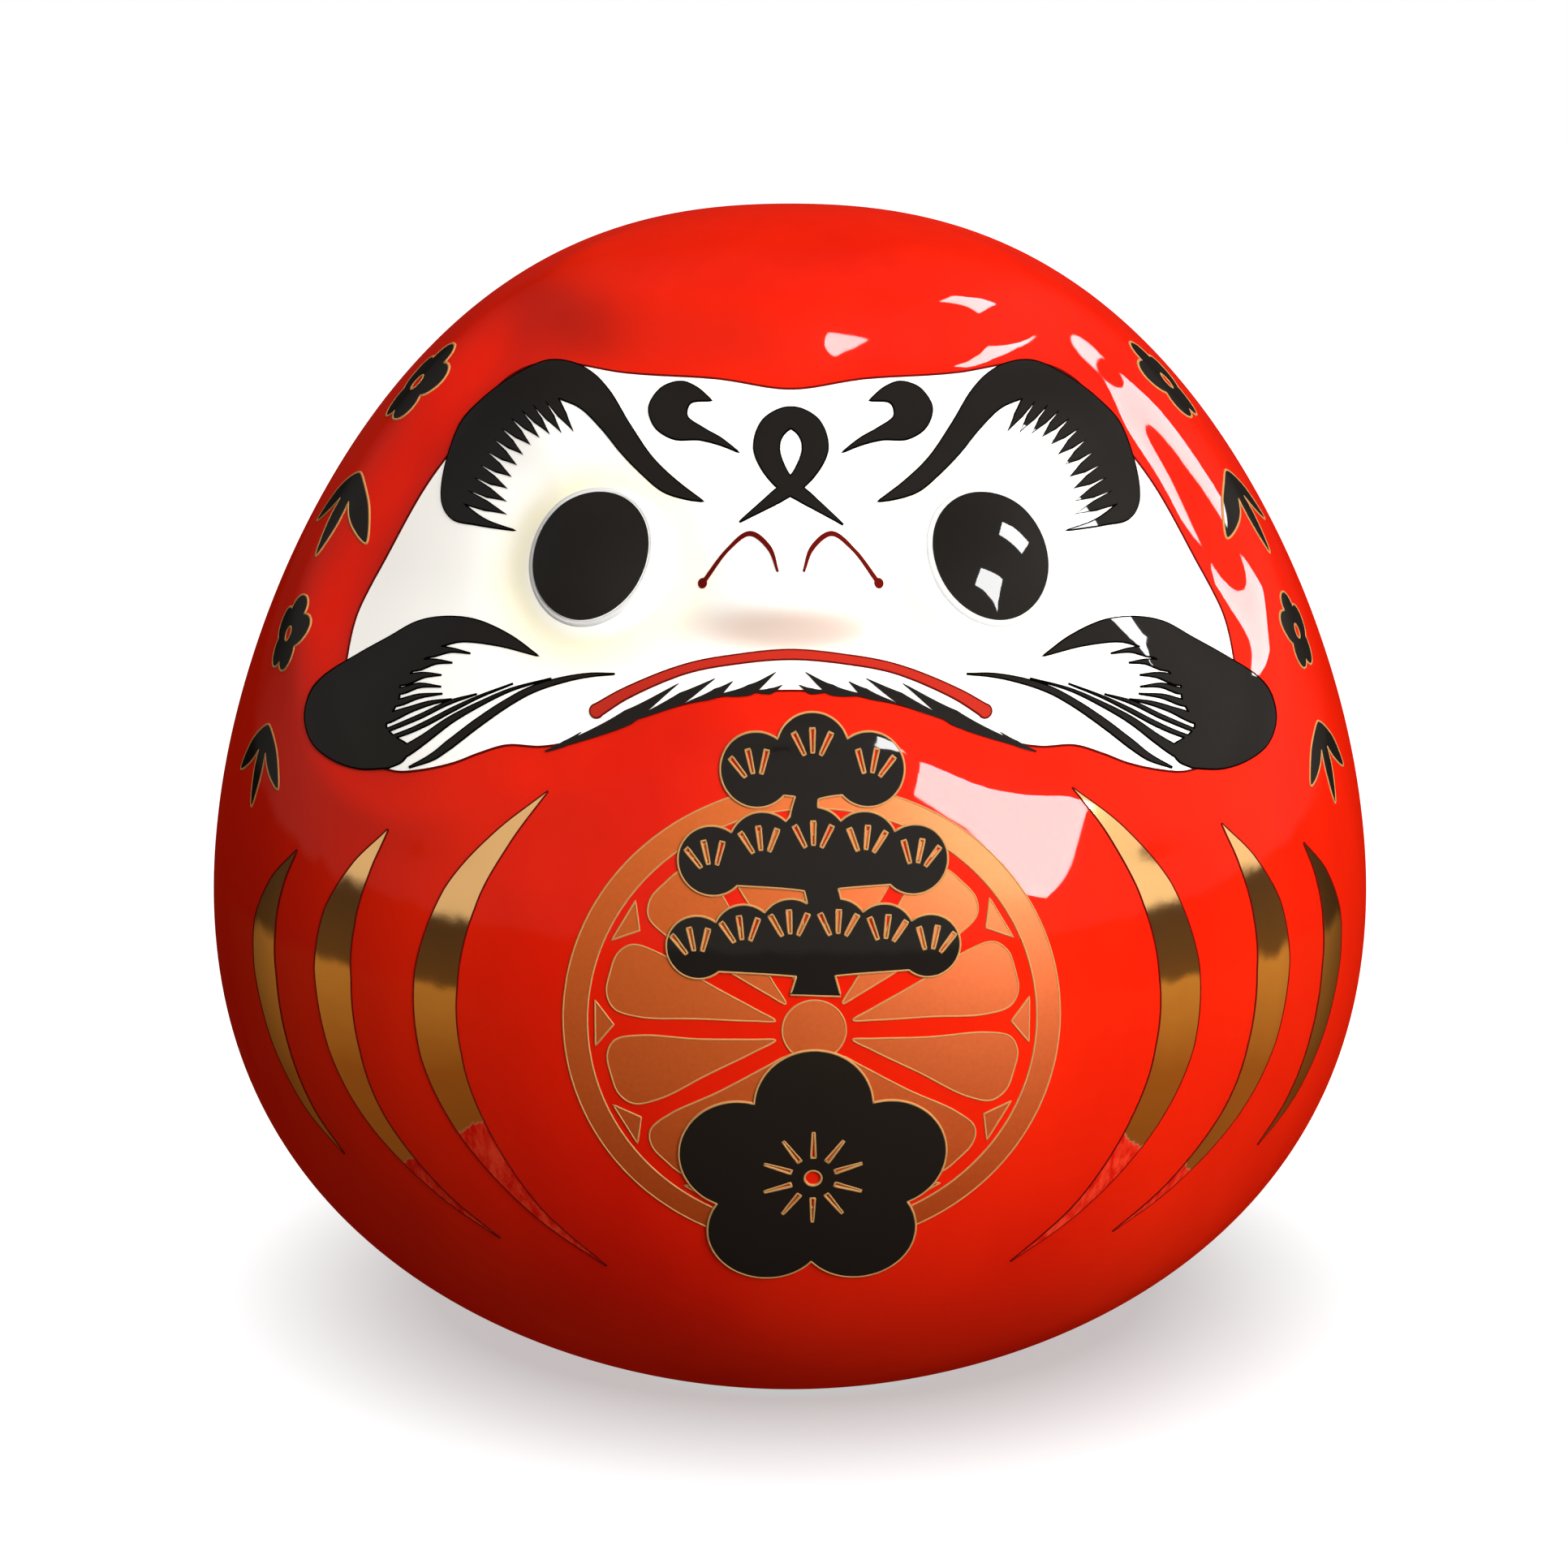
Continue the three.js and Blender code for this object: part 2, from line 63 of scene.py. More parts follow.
def smooth_curve(points: PointList, step: float = 0.45, closed: bool = False) -> Points:
    """Runs a centripetal Catmull-Rom curve through points.

    Args:
        points: the places that the curve passes, in millimetres.
        step: distance between the points of the result.
        closed: whether the curve returns to its first point.

    Returns:
        The curve's points, an array of rows (x, z).
    """
    given = np.asarray(points, float)
    if closed:
        control = np.vstack([given[-1], given, given[:2]])
    else:
        first = 2 * given[0] - given[1]
        last = 2 * given[-1] - given[-2]
        control = np.vstack([first, given, last])
    pieces = []
    for p0, p1, p2, p3 in zip(control, control[1:], control[2:], control[3:]):
        knots = [0.0]
        for a, b in ((p0, p1), (p1, p2), (p2, p3)):
            knots.append(knots[-1] + max(float(np.hypot(*(b - a))), 1e-6) ** 0.5)
        t0, t1, t2, t3 = knots
        count = max(1, round(float(np.hypot(*(p2 - p1))) / step))
        t = np.linspace(t1, t2, count, endpoint=False)[:, None]
        a1 = (t1 - t) / (t1 - t0) * p0 + (t - t0) / (t1 - t0) * p1
        a2 = (t2 - t) / (t2 - t1) * p1 + (t - t1) / (t2 - t1) * p2
        a3 = (t3 - t) / (t3 - t2) * p2 + (t - t2) / (t3 - t2) * p3
        b1 = (t2 - t) / (t2 - t0) * a1 + (t - t0) / (t2 - t0) * a2
        b2 = (t3 - t) / (t3 - t1) * a2 + (t - t1) / (t3 - t1) * a3
        pieces.append((t2 - t) / (t2 - t1) * b1 + (t - t1) / (t2 - t1) * b2)
    if not closed:
        pieces.append(given[-1:])
    return np.vstack(pieces)


def joined(*curves: Points) -> Points:
    """Joins open curves end to end into one closed outline with a corner at each joint."""
    return np.vstack([np.asarray(curve, float)[:-1] for curve in curves])


def stroke(points: PointList, widths: Sequence[float], step: float = 0.45) -> Points:
    """Outlines a brush stroke: a smooth line whose width changes evenly from point to point.

    Args:
        points: the stroke's middle line.
        widths: the stroke's width at each of those points.
        step: distance between the points of the outline.

    Returns:
        The closed outline.
    """
    line = smooth_curve(points, step)
    lengths = np.concatenate([[0], np.cumsum(np.hypot(*np.diff(line, axis=0).T))])
    marks = [int(np.argmin(np.hypot(*(line - p).T))) for p in np.asarray(points, float)]
    marks[0], marks[-1] = 0, len(line) - 1
    width = np.interp(lengths, lengths[marks], widths)
    ahead = np.gradient(line, axis=0)
    ahead /= np.hypot(*ahead.T)[:, None]
    side = np.stack([-ahead[:, 1], ahead[:, 0]], 1) * width[:, None] / 2
    return np.vstack([line + side, (line - side)[::-1]])


def circle(x: float, z: float, radius: float, step: float = 0.45) -> Points:
    """Outlines a circle about (x, z).

    Args:
        x: the centre's distance across.
        z: the centre's height.
        radius: the radius.
        step: distance between the points of the result.

    Returns:
        The outline, rows (x, z).
    """
    count = max(12, round(2 * math.pi * radius / step))
    angle = np.linspace(0, 2 * math.pi, count, endpoint=False)
    return np.stack([x + radius * np.cos(angle), z + radius * np.sin(angle)], 1)


def rotated(outline: Points, degrees: float, centre: Sequence[float] = (0, 0)) -> Points:
    """Turns an outline anticlockwise about a centre.

    Args:
        outline: a closed outline, rows (x, z).
        degrees: how far to turn.
        centre: the point that stays.

    Returns:
        The turned outline.
    """
    angle = math.radians(degrees)
    turn = np.array([[math.cos(angle), math.sin(angle)], [-math.sin(angle), math.cos(angle)]])
    middle = np.asarray(centre, float)
    return (np.asarray(outline, float) - middle) @ turn + middle


def mirrored(outline: Points) -> Points:
    """Mirrors an outline across the middle line x = 0."""
    return np.asarray(outline, float)[::-1] * (-1, 1)


def anticlockwise(outline: Points) -> Points:
    """Turns an outline's points to run anticlockwise.

    Args:
        outline: a closed outline, rows (x, z).

    Returns:
        The same outline, turned round if it ran clockwise.
    """
    x, z = np.asarray(outline, float).T
    area = (x * np.roll(z, -1) - z * np.roll(x, -1)).sum()
    return np.asarray(outline, float) if area > 0 else np.asarray(outline, float)[::-1]


def signed_distance(points: Points, outline: Points) -> Points:
    """Measures how far points lie inside a closed outline, negative outside it.

    Args:
        points: the points to measure, rows (x, z).
        outline: a closed outline, rows (x, z).

    Returns:
        One distance for each point.
    """
    result = np.empty(len(points))
    start = outline
    along = np.roll(outline, -1, axis=0) - start
    length = (along**2).sum(1)
    for low in range(0, len(points), 4000):
        p = points[low : low + 4000, None, :]
        share = np.clip(((p - start) * along).sum(2) / length, 0, 1)
        away = np.hypot(*np.moveaxis(p - start - share[..., None] * along, 2, 0)).min(1)
        x, z = p[..., 0], p[..., 1]
        spans = (start[:, 1] > z) != (start[:, 1] + along[:, 1] > z)
        rise = np.where(along[:, 1] == 0, 1e-9, along[:, 1])
        crosses = spans & (x < start[:, 0] + (z - start[:, 1]) / rise * along[:, 0])
        inside = crosses.sum(1) % 2 == 1
        result[low : low + 4000] = np.where(inside, away, -away)
    return result


# ------------------------------------------------------------------ the doll's surface


def smoothstep(value: Points) -> Points:
    """Eases from 0 to 1 as value goes from 0 to 1."""
    t = np.clip(value, 0, 1)
    return t * t * (3 - 2 * t)


def bump(distance: Points) -> Points:
    """Gives a hill that is 1 in the middle and runs out flat at distance 1."""
    inside = np.maximum(0, 1 - np.square(distance))
    return inside * inside


FACE_EDGE = [
    (0, 173.6), (12, 175), (27, 175.4), (40, 176.2), (47, 173.5), (55.6, 163), (61, 155.8),
    (66.6, 146), (69.8, 139.8), (71.3, 135), (71.4, 129), (70.2, 119.5), (66, 114.6), (61, 113.6),
    (56.8, 114.3), (51.2, 116.1),
    (47.2, 118), (43, 119.6), (37.5, 119.9), (30.5, 121.7), (21.8, 125.3), (10, 128.3), (0, 129.1),
]


def face_outline() -> Points:
    """Outlines the white face enamel in the front chart."""
    left = [(-x, z) for x, z in FACE_EDGE]
    return smooth_curve(left + FACE_EDGE[-2:0:-1], 0.6, closed=True)


@dataclass(frozen=True)
class EyeSize:
    """The eye domes: place, height and width of the dome and of the socket round it."""

    x: float = 30
    z: float = 147
    dome: float = 4.6
    dome_radius: float = 15.5
    socket: float = 1.6
    socket_radius: float = 23


@dataclass(frozen=True)
class NoseSize:
    """The nose: where it starts and ends, how high and wide it is and how fast it rises."""

    bottom: float = 135
    top: float = 160
    height: float = 8
    foot: float = 7
    width: float = 21
    taper: float = 13
    fall_power: float = 1.3


@dataclass(frozen=True)
class HoodSize:
    """The hood's rolled lip, and how deep the face lies under it from the chin upwards."""

    bottom: float = 118
    fade: float = 26
    chin_depth: float = 1.4
    added_depth: float = 3.6
    lip: float = 1.3
    lip_place: float = 11
    roll: float = 8
    flattening: float = 0.45
    flat_within: float = 25


@dataclass(frozen=True)
class Hill:
    """A soft hill at the same place on both halves: its place, its reaches and its height."""

    x: float
    z: float
    reach_x: float
    reach_z: float
    height: float

    def rise(self, x: Points, z: Points) -> Points:
        """Gives the height that the hill adds at chart points."""
        away = np.hypot((np.abs(x) - self.x) / self.reach_x, (z - self.z) / self.reach_z)
        return self.height * bump(away)


@dataclass(frozen=True)
class ReliefMap:
    """The sculpted face and robe as heights over the plain egg, on a grid of the front chart."""

    eye: EyeSize = EyeSize()
    nose_size: NoseSize = NoseSize()
    hood_size: HoodSize = HoodSize()
    muzzle: Hill = Hill(0, 129, 36, 11, 2.2)
    brow: Hill = Hill(35, 167, 22, 10, 1.6)
    collar: Hill = Hill(54, 112, 20, 13, 0.7)
    fold: Hill = Hill(36, 106, 13, 9, -0.3)
    left: float = -110
    bottom: float = 70
    columns: int = 221
    rows: int = 131
    heights: list = field(default_factory=list)

    def hood(self, x: Points, z: Points) -> Points:
        """Sinks the face under the rolled lip of the hood and raises it again to the nose.

        Args:
            x: distance across the chart.
            z: height in the chart.

        Returns:
            The height at each point, in millimetres.
        """
        size = self.hood_size
        inwards = signed_distance(np.stack([x, z], 1), face_outline())
        share = smoothstep((z - size.bottom) / size.fade)
        depth = size.chin_depth + size.added_depth * share
        floor = 1 - size.flattening * smoothstep(inwards / size.flat_within)
        lip = size.lip * share * bump((inwards + size.lip_place) / size.roll)
        return lip - depth * smoothstep((inwards + size.roll) / size.roll) * floor

    def eyes(self, x: Points, z: Points) -> Points:
        """Raises the eye domes out of their sockets.

        Args:
            x: distance across the chart.
            z: height in the chart.

        Returns:
            The height at each point, in millimetres.
        """
        away = np.hypot(np.abs(x) - self.eye.x, z - self.eye.z)
        dome = self.eye.dome * bump(away / self.eye.dome_radius)
        return dome - self.eye.socket * bump(away / self.eye.socket_radius)

    def nose(self, x: Points, z: Points) -> Points:
        """Raises the broad nose, steep underneath and running out into the bridge.

        Args:
            x: distance across the chart.
            z: height in the chart.

        Returns:
            The height at each point, in millimetres.
        """
        size = self.nose_size
        rise = np.clip((z - size.bottom) / (size.top - size.bottom), 0, 1)
        foot = smoothstep((z - size.bottom) / size.foot)
        width = size.width - size.taper * rise
        return size.height * foot * (1 - rise) ** size.fall_power * bump(x / width)

    def robe(self, x: Points, z: Points) -> Points:
        """Adds the muzzle, the brows, and the collar roll with the fold under it."""
        hills = (self.muzzle, self.brow, self.collar, self.fold)
        return sum(hill.rise(x, z) for hill in hills)

    def fill(self) -> None:
        """Works out the heights once, at every millimetre of the chart."""
        z, x = np.mgrid[0 : self.rows, 0 : self.columns].astype(float)
        x, z = (x + self.left).ravel(), (z + self.bottom).ravel()
        total = self.hood(x, z) + self.eyes(x, z) + self.nose(x, z) + self.robe(x, z)
        self.heights.append(total.reshape(self.rows, self.columns))

    def __call__(self, x: Points, z: Points) -> Points:
        """Reads the height at chart points through a smooth cubic spline.

        Args:
            x: distance across the chart.
            z: height in the chart.

        Returns:
            The height at each point, in millimetres.
        """
        if not self.heights:
            self.fill()
        grid = self.heights[0]
        u = np.clip(x - self.left, 1, self.columns - 3.001)
        v = np.clip(z - self.bottom, 1, self.rows - 3.001)
        column, row = u.astype(int), v.astype(int)
        total = np.zeros_like(u)
        for dv, weight_v in enumerate(self.spline(v - row)):
            for du, weight_u in enumerate(self.spline(u - column)):
                total += weight_v * weight_u * grid[row + dv - 1, column + du - 1]
        return np.where(z < self.bottom + 2, 0, total)

    @staticmethod
    def spline(t: Points) -> tuple[Points, Points, Points, Points]:
        """Gives the four weights of a uniform cubic B-spline at t between 0 and 1.

        Args:
            t: place between two grid lines, from 0 to 1.

        Returns:
            The weights of the grid lines before, at, after and beyond the place.
        """
        return (
            (1 - t) ** 3 / 6,
            (3 * t**3 - 6 * t**2 + 4) / 6,
            (-3 * t**3 + 3 * t**2 + 3 * t + 1) / 6,
            t**3 / 6,
        )


@dataclass(frozen=True)
class DollSurface:
    """The glazed outside of the body, an egg with a flattened depth and the relief on its front."""

    height: float = 195.4
    half_width: float = 98
    depth_ratio: float = 0.94
    sink: float = 5.2
    crown_power: float = 0.425
    seat_power: float = 0.58
    lean: float = 0.306
    swell: float = 0.106
    slot_level: float = 140
    slot_half_width: float = 15.4
    slot_half_height: float = 2.6
    lip_depth: float = 1.1
    lip_overlap: float = 0.8
    lip_reach: float = 3
    panel_depth: float = 0.45
    panel_margin: float = 0.6
    panel_run: float = 1.6
    relief: ReliefMap = field(default_factory=ReliefMap)

    def shape(self, s: Points) -> Points:
        """Gives the egg's unscaled radius at s, which runs from -1 to 1 up the body."""
        ends = (1 - s) ** self.crown_power * (1 + s) ** self.seat_power
        return ends * (1 - self.lean * s + self.swell * s * s)

    def radius(self, z: Points) -> Points:
        """Gives the body's half-width at a height.

        Args:
            z: heights in millimetres.

        Returns:
            The half-width at each height.
        """
        middle, half = (self.height - self.sink) / 2, (self.height + self.sink) / 2
        s = np.clip((z - middle) / half, -1 + 1e-6, 1 - 1e-6)
        widest = self.shape(np.linspace(-0.99, 0.99, 1981)).max()
        return self.half_width * self.shape(s) / widest

    def slot_lip(self, azimuth: Points, z: Points) -> Points:
        """Rounds the glaze over into the coin slot at the back.

        Args:
            azimuth: angle round the body in radians.
            z: heights in millimetres.

        Returns:
            How far the skin lies out at each point.
        """
        x = np.abs(self.radius(z) * np.sin(azimuth))
        beyond = np.hypot(np.maximum(x - self.slot_half_width, 0), z - self.slot_level)
        clear = np.maximum(beyond - self.slot_half_height + self.lip_overlap, 0)
        sunk = -self.lip_depth * bump(clear / self.lip_reach)
        return np.where(np.cos(azimuth) < 0, sunk, 0)

    def under_face(self, azimuth: Points, z: Points) -> Points:
        """Gives how far the glaze sinks under the thicker face enamel.

        Args:
            azimuth: angle round the body in radians.
            z: heights in millimetres.

        Returns:
            The depth at each point.
        """
        chart = np.stack([self.radius(z) * np.sin(azimuth), z], 1)
        inwards = signed_distance(chart, face_outline()) - self.panel_margin
        sunk = self.panel_depth * smoothstep(inwards / self.panel_run)
        return np.where(np.cos(azimuth) > 0, sunk, 0)

    def point(self, azimuth: Points, z: Points, lift: Points) -> Points:
        """Places points on the skin.

        Args:
            azimuth: angle round the body in radians, 0 at the front and positive towards +X.
            z: height in millimetres.
            lift: distance out from the glaze along the egg's normal.

        Returns:
            Rows (x, y, z) in millimetres.
        """
        azimuth, z, lift = np.broadcast_arrays(azimuth, z, lift)
        radius = self.radius(z)
        slope = (self.radius(z + 0.01) - self.radius(z - 0.01)) / 0.02
        sin, cos = np.sin(azimuth), np.cos(azimuth)
        normal = np.stack([self.depth_ratio * sin, -cos, -slope * self.depth_ratio], -1)
        normal /= np.linalg.norm(normal, axis=-1, keepdims=True)
        facing = smoothstep((cos - 0.2) * 3)
        out = lift + facing * self.relief(radius * sin, z) + self.slot_lip(azimuth, z)
        base = np.stack([radius * sin, -self.depth_ratio * radius * cos, z], -1)
        return base + normal * out[..., None]

    def chart_azimuth(self, chart: Points, turn: float) -> Points:
        """Gives the azimuth of chart points (x, z) seen square on from an azimuth in degrees."""
        share = np.clip(chart[:, 0] / self.radius(chart[:, 1]), -0.999, 0.999)
        return np.arcsin(share) + math.radians(turn)

    def lay(self, chart: Points, turn: float, lift: Points) -> Points:
        """Lays chart points on the skin, lifted off it."""
        return self.point(self.chart_azimuth(chart, turn), chart[:, 1], lift)

    def normals(self, chart: Points, turn: float) -> Points:
        """Gives the skin's true outward normals at chart points.

        Args:
            chart: rows (x, z) in the chart.
            turn: azimuth in degrees from which the chart is seen.

        Returns:
            One unit vector for each point.
        """
        azimuth, z = self.chart_azimuth(chart, turn), chart[:, 1]
        across = self.point(azimuth + 0.004, z, 0) - self.point(azimuth - 0.004, z, 0)
        up = self.point(azimuth, z + 0.3, 0) - self.point(azimuth, z - 0.3, 0)
        normal = np.cross(across, up)
        return normal / np.linalg.norm(normal, axis=1, keepdims=True)


SURFACE = DollSurface()


# ------------------------------------------------------------------ materials


def linear(hex_colour: str) -> tuple[float, float, float, float]:
    """Turns an sRGB hex colour to the linear colour that shader sockets take.

    Args:
        hex_colour: the colour as #RRGGBB.

    Returns:
        Red, green, blue and alpha, each from 0 to 1.
    """
    channels = [int(hex_colour[i : i + 2], 16) / 255 for i in (1, 3, 5)]
    bent = [c / 12.92 if c <= 0.04045 else ((c + 0.055) / 1.055) ** 2.4 for c in channels]
    return bent[0], bent[1], bent[2], 1.0


def per(size_mm: float) -> float:
    """Gives the texture scale whose pattern repeats about every size_mm millimetres."""
    return 1000 / size_mm


def set_sockets(node: bpy.types.Node, values: dict) -> None:
    """Sets a node's inputs, given by name or number, each to one value."""
    for name, value in values.items():
        node.inputs[name].default_value = value


def add_node(
    tree: bpy.types.NodeTree, kind: str, settings: dict | None = None, links: dict | None = None
) -> bpy.types.Node:
    """Adds a node with its settings and links.

    Args:
        tree: the node tree that gets the node.
        kind: the node's type name without its ShaderNode.
        settings: values by property name, or by input name or number.
        links: sockets by input name or number.

    Returns:
        The node.
    """
    node = tree.nodes.new(f"ShaderNode{kind}")
    for name, value in (settings or {}).items():
        if isinstance(name, str) and hasattr(node, name):
            setattr(node, name, value)
        else:
            node.inputs[name].default_value = value
    for name, socket in (links or {}).items():
        tree.links.new(socket, node.inputs[name])
    return node


# The Mix node's sockets for colours, by number.
MIX_FACTOR, MIX_A, MIX_B, MIX_RESULT = 0, 6, 7, 2


@dataclass(frozen=True)
class Finish:
    """A finish: its material's name and how its glaze or gloss lies.

    `ripple_mm` is the slow waviness of a run glaze and `peel_mm` its orange peel. Real peel is
    about 0.4 mm apart, and is drawn twice as coarse so that it shows.
    """

    name: str
    colour: str
    roughness: float = 0.3
    coat: float = 0.0
    coat_roughness: float = 0.03
    specular: float = 0.0
    ripple_mm: float = 16
    ripple_height_mm: float = 0.02
    peel_mm: float = 0.9
    peel_height_mm: float = 0.0012
    cloud_mm: float = 22
    cloud_shade: float = 0.86

    def material(self) -> bpy.types.Material:
        """Gives the finish's material, and makes it the first time.

        Returns:
            The material.
        """
        found = bpy.data.materials.get(self.name)
        if found:
            return found
        made = bpy.data.materials.new(self.name)
        made.use_nodes = True
        made.diffuse_color = linear(self.colour)
        tree = made.node_tree
        shader = tree.nodes["Principled BSDF"]
        place = add_node(tree, "TexCoord").outputs["Object"]
        set_sockets(shader, {
            "Base Color": linear(self.colour), "Roughness": self.roughness, "Coat Weight": self.coat,
            "Coat Roughness": self.coat_roughness, "Specular IOR Level": self.specular,
        })
        self.paint(tree, shader, place)
        self.surface(tree, shader, place)
        return made

    def paint(
        self, tree: bpy.types.NodeTree, shader: bpy.types.Node, place: bpy.types.NodeSocket
    ) -> None:
        """Varies the colour a little, as a hand-laid enamel does.

        Args:
            tree: the material's node tree.
            shader: its principled shader.
            place: the socket that gives each point's place in metres.
        """
        cloud = add_node(
            tree, "TexNoise", {"Scale": per(self.cloud_mm), "Detail": 3.0}, {"Vector": place}
        )
        dark = [c * self.cloud_shade for c in linear(self.colour)[:3]] + [1.0]
        mix = add_node(
            tree, "Mix", {"data_type": "RGBA", MIX_A: dark, MIX_B: linear(self.colour)},
            {MIX_FACTOR: cloud.outputs["Fac"]},
        )
        tree.links.new(mix.outputs[MIX_RESULT], shader.inputs["Base Color"])

    def surface(
        self, tree: bpy.types.NodeTree, shader: bpy.types.Node, place: bpy.types.NodeSocket
    ) -> None:
        """Gives the gloss its slow ripple and its fine orange peel.

        Args:
            tree: the material's node tree.
            shader: its principled shader.
            place: the socket that gives each point's place in metres.
        """
        ripple = add_node(
            tree, "TexNoise", {"Scale": per(self.ripple_mm), "Detail": 1.0}, {"Vector": place}
        )
        slow = add_node(
            tree, "Bump", {"Distance": self.ripple_height_mm * MM, "Strength": 1.0},
            {"Height": ripple.outputs["Fac"]},
        )
        peel = add_node(tree, "TexNoise", {"Scale": per(self.peel_mm)}, {"Vector": place})
        fine = add_node(
            tree, "Bump", {"Distance": self.peel_height_mm * MM, "Strength": 1.0},
            {"Height": peel.outputs["Fac"], "Normal": slow.outputs["Normal"]},
        )
        tree.links.new(fine.outputs["Normal"], shader.inputs["Normal"])


@dataclass(frozen=True)
class VermilionGlaze(Finish):
    """Glazed earthenware, dipped: thick glossy vermilion that runs thinner and brighter on rolls."""

    deep: str = "#E41A07"
    cloud_mm: float = 45
    cloud_squash: float = 0.45
    cloud_edge: tuple[float, float] = (0.3, 0.7)

    def paint(
        self, tree: bpy.types.NodeTree, shader: bpy.types.Node, place: bpy.types.NodeSocket
    ) -> None:
        """Mixes the deep and the bright glaze in soft clouds drawn out up the body.

        Args:
            tree: the material's node tree.
            shader: its principled shader.
            place: the socket that gives each point's place in metres.
        """
        drawn = add_node(tree, "Mapping", {"Scale": (1.0, 1.0, self.cloud_squash)}, {"Vector": place})
        cloud = add_node(
            tree, "TexNoise", {"Scale": per(self.cloud_mm), "Detail": 4.0, "Roughness": 0.55},
            {"Vector": drawn.outputs["Vector"]},
        )
        spread = add_node(
            tree, "MapRange", {"From Min": self.cloud_edge[0], "From Max": self.cloud_edge[1]},
            {"Value": cloud.outputs["Fac"]},
        )
        mix = add_node(
            tree, "Mix", {"data_type": "RGBA", MIX_A: linear(self.deep), MIX_B: linear(self.colour)},
            {MIX_FACTOR: spread.outputs["Result"]},
        )
        tree.links.new(mix.outputs[MIX_RESULT], shader.inputs["Base Color"])


@dataclass(frozen=True)
class FaceEnamel(Finish):
    """Opaque white enamel, brushed on and airbrushed pale yellow round the eyes.

    A warm painted shade lies under the nose, and a painted glow, light of its own, brightens the
    whole face.
    """

    halo: str = "#EEE5C4"
    mist_mm: float = 9
    mist_low: float = 0.6
    # painted glow: the enamel gives off its own colour as light
    painted_glow: float = 0.0
    # painted shade: a warm darker tone under the nose, where its shadow falls
    painted_nose_shade: str = "#CDB19F"
    painted_shade_level: float = 137.6
    painted_shade_squeeze: tuple[float, float, float] = (38.0, 60.0, 165.0)
    painted_shade_strength: float = 0.75
    halo_inner_mm: float = 10.4
    halo_peak_mm: float = 13.5
    halo_outer_mm: float = 23

    def paint(
        self, tree: bpy.types.NodeTree, shader: bpy.types.Node, place: bpy.types.NodeSocket
    ) -> None:
        """Lays the halo by each point's distance to the nearer eye, then the painted shade under
        the nose and the painted glow.

        Args:
            tree: the material's node tree.
            shader: its principled shader.
            place: the socket that gives each point's place in metres.
        """
        eye = SURFACE.relief.eye
        distances = []
        for side in (-1, 1):
            centre = SURFACE.lay(np.array([[side * eye.x, eye.z]]), 0, 0)[0] * MM
            away = add_node(tree, "VectorMath", {"operation": "DISTANCE", 1: tuple(centre)}, {0: place})
            distances.append(away.outputs["Value"])
        nearer = add_node(tree, "Math", {"operation": "MINIMUM"}, {0: distances[0], 1: distances[1]})
        slopes = []
        for far_mm in (self.halo_inner_mm, self.halo_outer_mm):
            slope = add_node(
                tree, "MapRange",
                {
                    "interpolation_type": "SMOOTHSTEP", "From Min": far_mm * MM,
                    "From Max": self.halo_peak_mm * MM,
                },
                {"Value": nearer.outputs[0]},
            )
            slopes.append(slope.outputs["Result"])
        band = add_node(tree, "Math", {"operation": "MULTIPLY"}, {0: slopes[0], 1: slopes[1]})
        mist = add_node(tree, "TexNoise", {"Scale": per(self.mist_mm), "Detail": 3.0}, {"Vector": place})
        soft = add_node(tree, "MapRange", {"To Min": self.mist_low}, {"Value": mist.outputs["Fac"]})
        patchy = add_node(
            tree, "Math", {"operation": "MULTIPLY"}, {0: band.outputs[0], 1: soft.outputs["Result"]}
        )
        mix = add_node(
            tree, "Mix", {"data_type": "RGBA", MIX_A: linear(self.colour), MIX_B: linear(self.halo)},
            {MIX_FACTOR: patchy.outputs[0]},
        )
        # painted shade under the nose, mixed over the halo
        shaded = add_node(
            tree, "Mix", {"data_type": "RGBA", MIX_B: linear(self.painted_nose_shade)},
            {MIX_FACTOR: self.painted_shade_mask(tree, place), MIX_A: mix.outputs[MIX_RESULT]},
        )
        colour = shaded.outputs[MIX_RESULT]
        tree.links.new(colour, shader.inputs["Base Color"])
        # painted glow: the enamel gives off its own colour as light, at the strength below
        tree.links.new(colour, shader.inputs["Emission Color"])
        shader.inputs["Emission Strength"].default_value = self.painted_glow

    def painted_shade_mask(
        self, tree: bpy.types.NodeTree, place: bpy.types.NodeSocket
    ) -> bpy.types.NodeSocket:
        """Gives the strength of the painted shade under the nose, a warm tone where its shadow falls.

        Args:
            tree: the material's node tree.
            place: the socket that gives each point's place in metres.

        Returns:
            The socket that gives the strength.
        """
        centre = SURFACE.lay(np.array([[0, self.painted_shade_level]]), 0, 0)[0] * MM
        shift = add_node(tree, "VectorMath", {"operation": "SUBTRACT", 1: tuple(centre)}, {0: place})
        squeezed = add_node(
            tree, "VectorMath", {"operation": "MULTIPLY", 1: self.painted_shade_squeeze},
            {0: shift.outputs["Vector"]},
        )
        away = add_node(tree, "VectorMath", {"operation": "LENGTH"}, {0: squeezed.outputs["Vector"]})
        strength = add_node(
            tree, "MapRange",
            {
                "interpolation_type": "SMOOTHSTEP", "From Min": 1.0, "From Max": 0.2,
                "To Max": self.painted_shade_strength,
            },
            {"Value": away.outputs["Value"]},
        )
        return strength.outputs["Result"]


